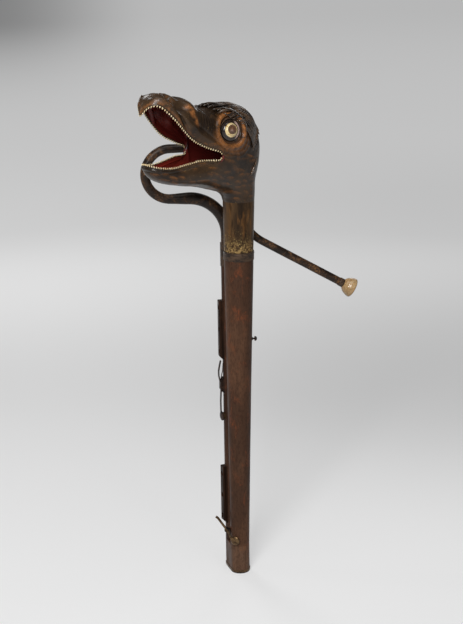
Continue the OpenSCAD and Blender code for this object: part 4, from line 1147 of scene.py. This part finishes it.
def stage_floor():
    """Plain pale floor that fades to grey far away; its glow holds painted shadow to the camera's
    right and painted shade in the far left corner.
    """
    n, radii = 128, [0.0, 0.4, 0.9, 1.6, 3, 6, 12, 30, 80]
    a = np.linspace(0, 2 * math.pi, n, endpoint=False)
    v = np.concatenate([np.stack([r * np.cos(a), r * np.sin(a), 0 * a], -1) for r in radii]) / MM
    ob = make_mesh("floor", v, grid_faces(len(radii), n))
    k = Mat("floor_pale", rough=0.9, spec=0.1)
    k.b.inputs["Base Color"].default_value = FLOOR_TONE
    x, y = k.axis(0), k.axis(1)
    # distances away from the camera and to its right, and the second by the first
    c, sn = math.cos(TURN), math.sin(TURN)
    along = k.math("ADD", k.math("MULTIPLY", x, sn), k.math("MULTIPLY", y, c))
    across = k.math("SUBTRACT", k.math("MULTIPLY", x, c), k.math("MULTIPLY", y, sn))
    wedge = k.math("DIVIDE", across, k.math("MAXIMUM", k.math("ADD", along, CAM_FAR), 0.6))
    glow = k.ramp(along, 0.0, 1.3, FLOOR_NEAR, FLOOR_MID)
    glow = k.math("ADD", glow, k.ramp(along, 1.3, 3.2, 0.0, 0.18))
    glow = k.math("ADD", glow, k.ramp(along, 4.5, 26, 0.0, -0.06))
    # painted shadow: the glow is darker to the camera's right and lighter to its left
    right = k.math("MULTIPLY", k.ramp(along, 0.1, 1.0), k.ramp(along, 3, 7, 1.0, 0.15))
    fall = k.math("MULTIPLY", right, k.ramp(wedge, -0.17, 0.17, -0.04, 0.05))
    glow = k.math("SUBTRACT", glow, fall)
    # painted shade: the glow is darker in the far left corner
    corner = k.math("MULTIPLY", k.ramp(along, 6, 24), k.ramp(wedge, -0.17, -0.04, 1.0, 0.0))
    glow = k.math("SUBTRACT", glow, k.math("MULTIPLY", corner, 0.26))
    path = k.node("ShaderNodeLightPath")
    bent = k.math("MAXIMUM", path.outputs["Is Glossy Ray"], path.outputs["Is Transmission Ray"])
    seen = k.math("MAXIMUM", path.outputs["Is Camera Ray"], bent)
    k.b.inputs["Emission Color"].default_value = (1, 1, 1, 1)
    k.link(k.math("MULTIPLY", seen, glow), k.b.inputs["Emission Strength"])
    ob.data.materials.append(k.m)
    return ob


stage_floor()

world = bpy.data.worlds.new("studio")
bpy.context.scene.world = world
world.use_nodes = True
bg = world.node_tree.nodes["Background"]
bg.inputs["Color"].default_value = (0.95, 0.97, 1.0, 1)
bg.inputs["Strength"].default_value = 0.07


def soft_box(name, at, aim, size, power):
    """Area lamp at view coordinates (right, away from the camera, up), aimed at a height."""
    la = bpy.data.lights.new(name, "AREA")
    la.shape = "RECTANGLE"
    la.size, la.size_y = size
    la.energy = power
    ob = bpy.data.objects.new(name, la)
    bpy.context.scene.collection.objects.link(ob)
    c, sn = math.cos(TURN), math.sin(TURN)
    u, w, z = at
    loc = Vector((c * u + sn * w, -sn * u + c * w, z))
    ob.location = loc
    d = Vector((0, 0, aim)) - loc
    ob.rotation_euler = d.to_track_quat("-Z", "Y").to_euler()
    return ob


# Name, place, height of aim, size and watts
LAMPS = [
    ("key", (-0.6, -2.55, 2.1), 0.6, (0.9, 1.4), 68),
    ("fill", (1.3, -2.3, 1.3), 0.6, (0.3, 1.6), 3),
    ("edge", (-2.2, 0.4, 1.1), 0.6, (0.1, 2.0), 2.5),
    ("top", (0.1, -0.7, 2.9), 0.5, (1.3, 1.3), 16),
    ("back_left", (-1.3, 2.5, 1.9), 0.6, (1.0, 1.4), 22),
    ("back_right", (0.8, 2.8, 1.7), 0.6, (0.9, 1.4), 7),
]
for lamp in LAMPS:
    soft_box(*lamp)

bpy.context.scene.view_settings.view_transform = "Standard"
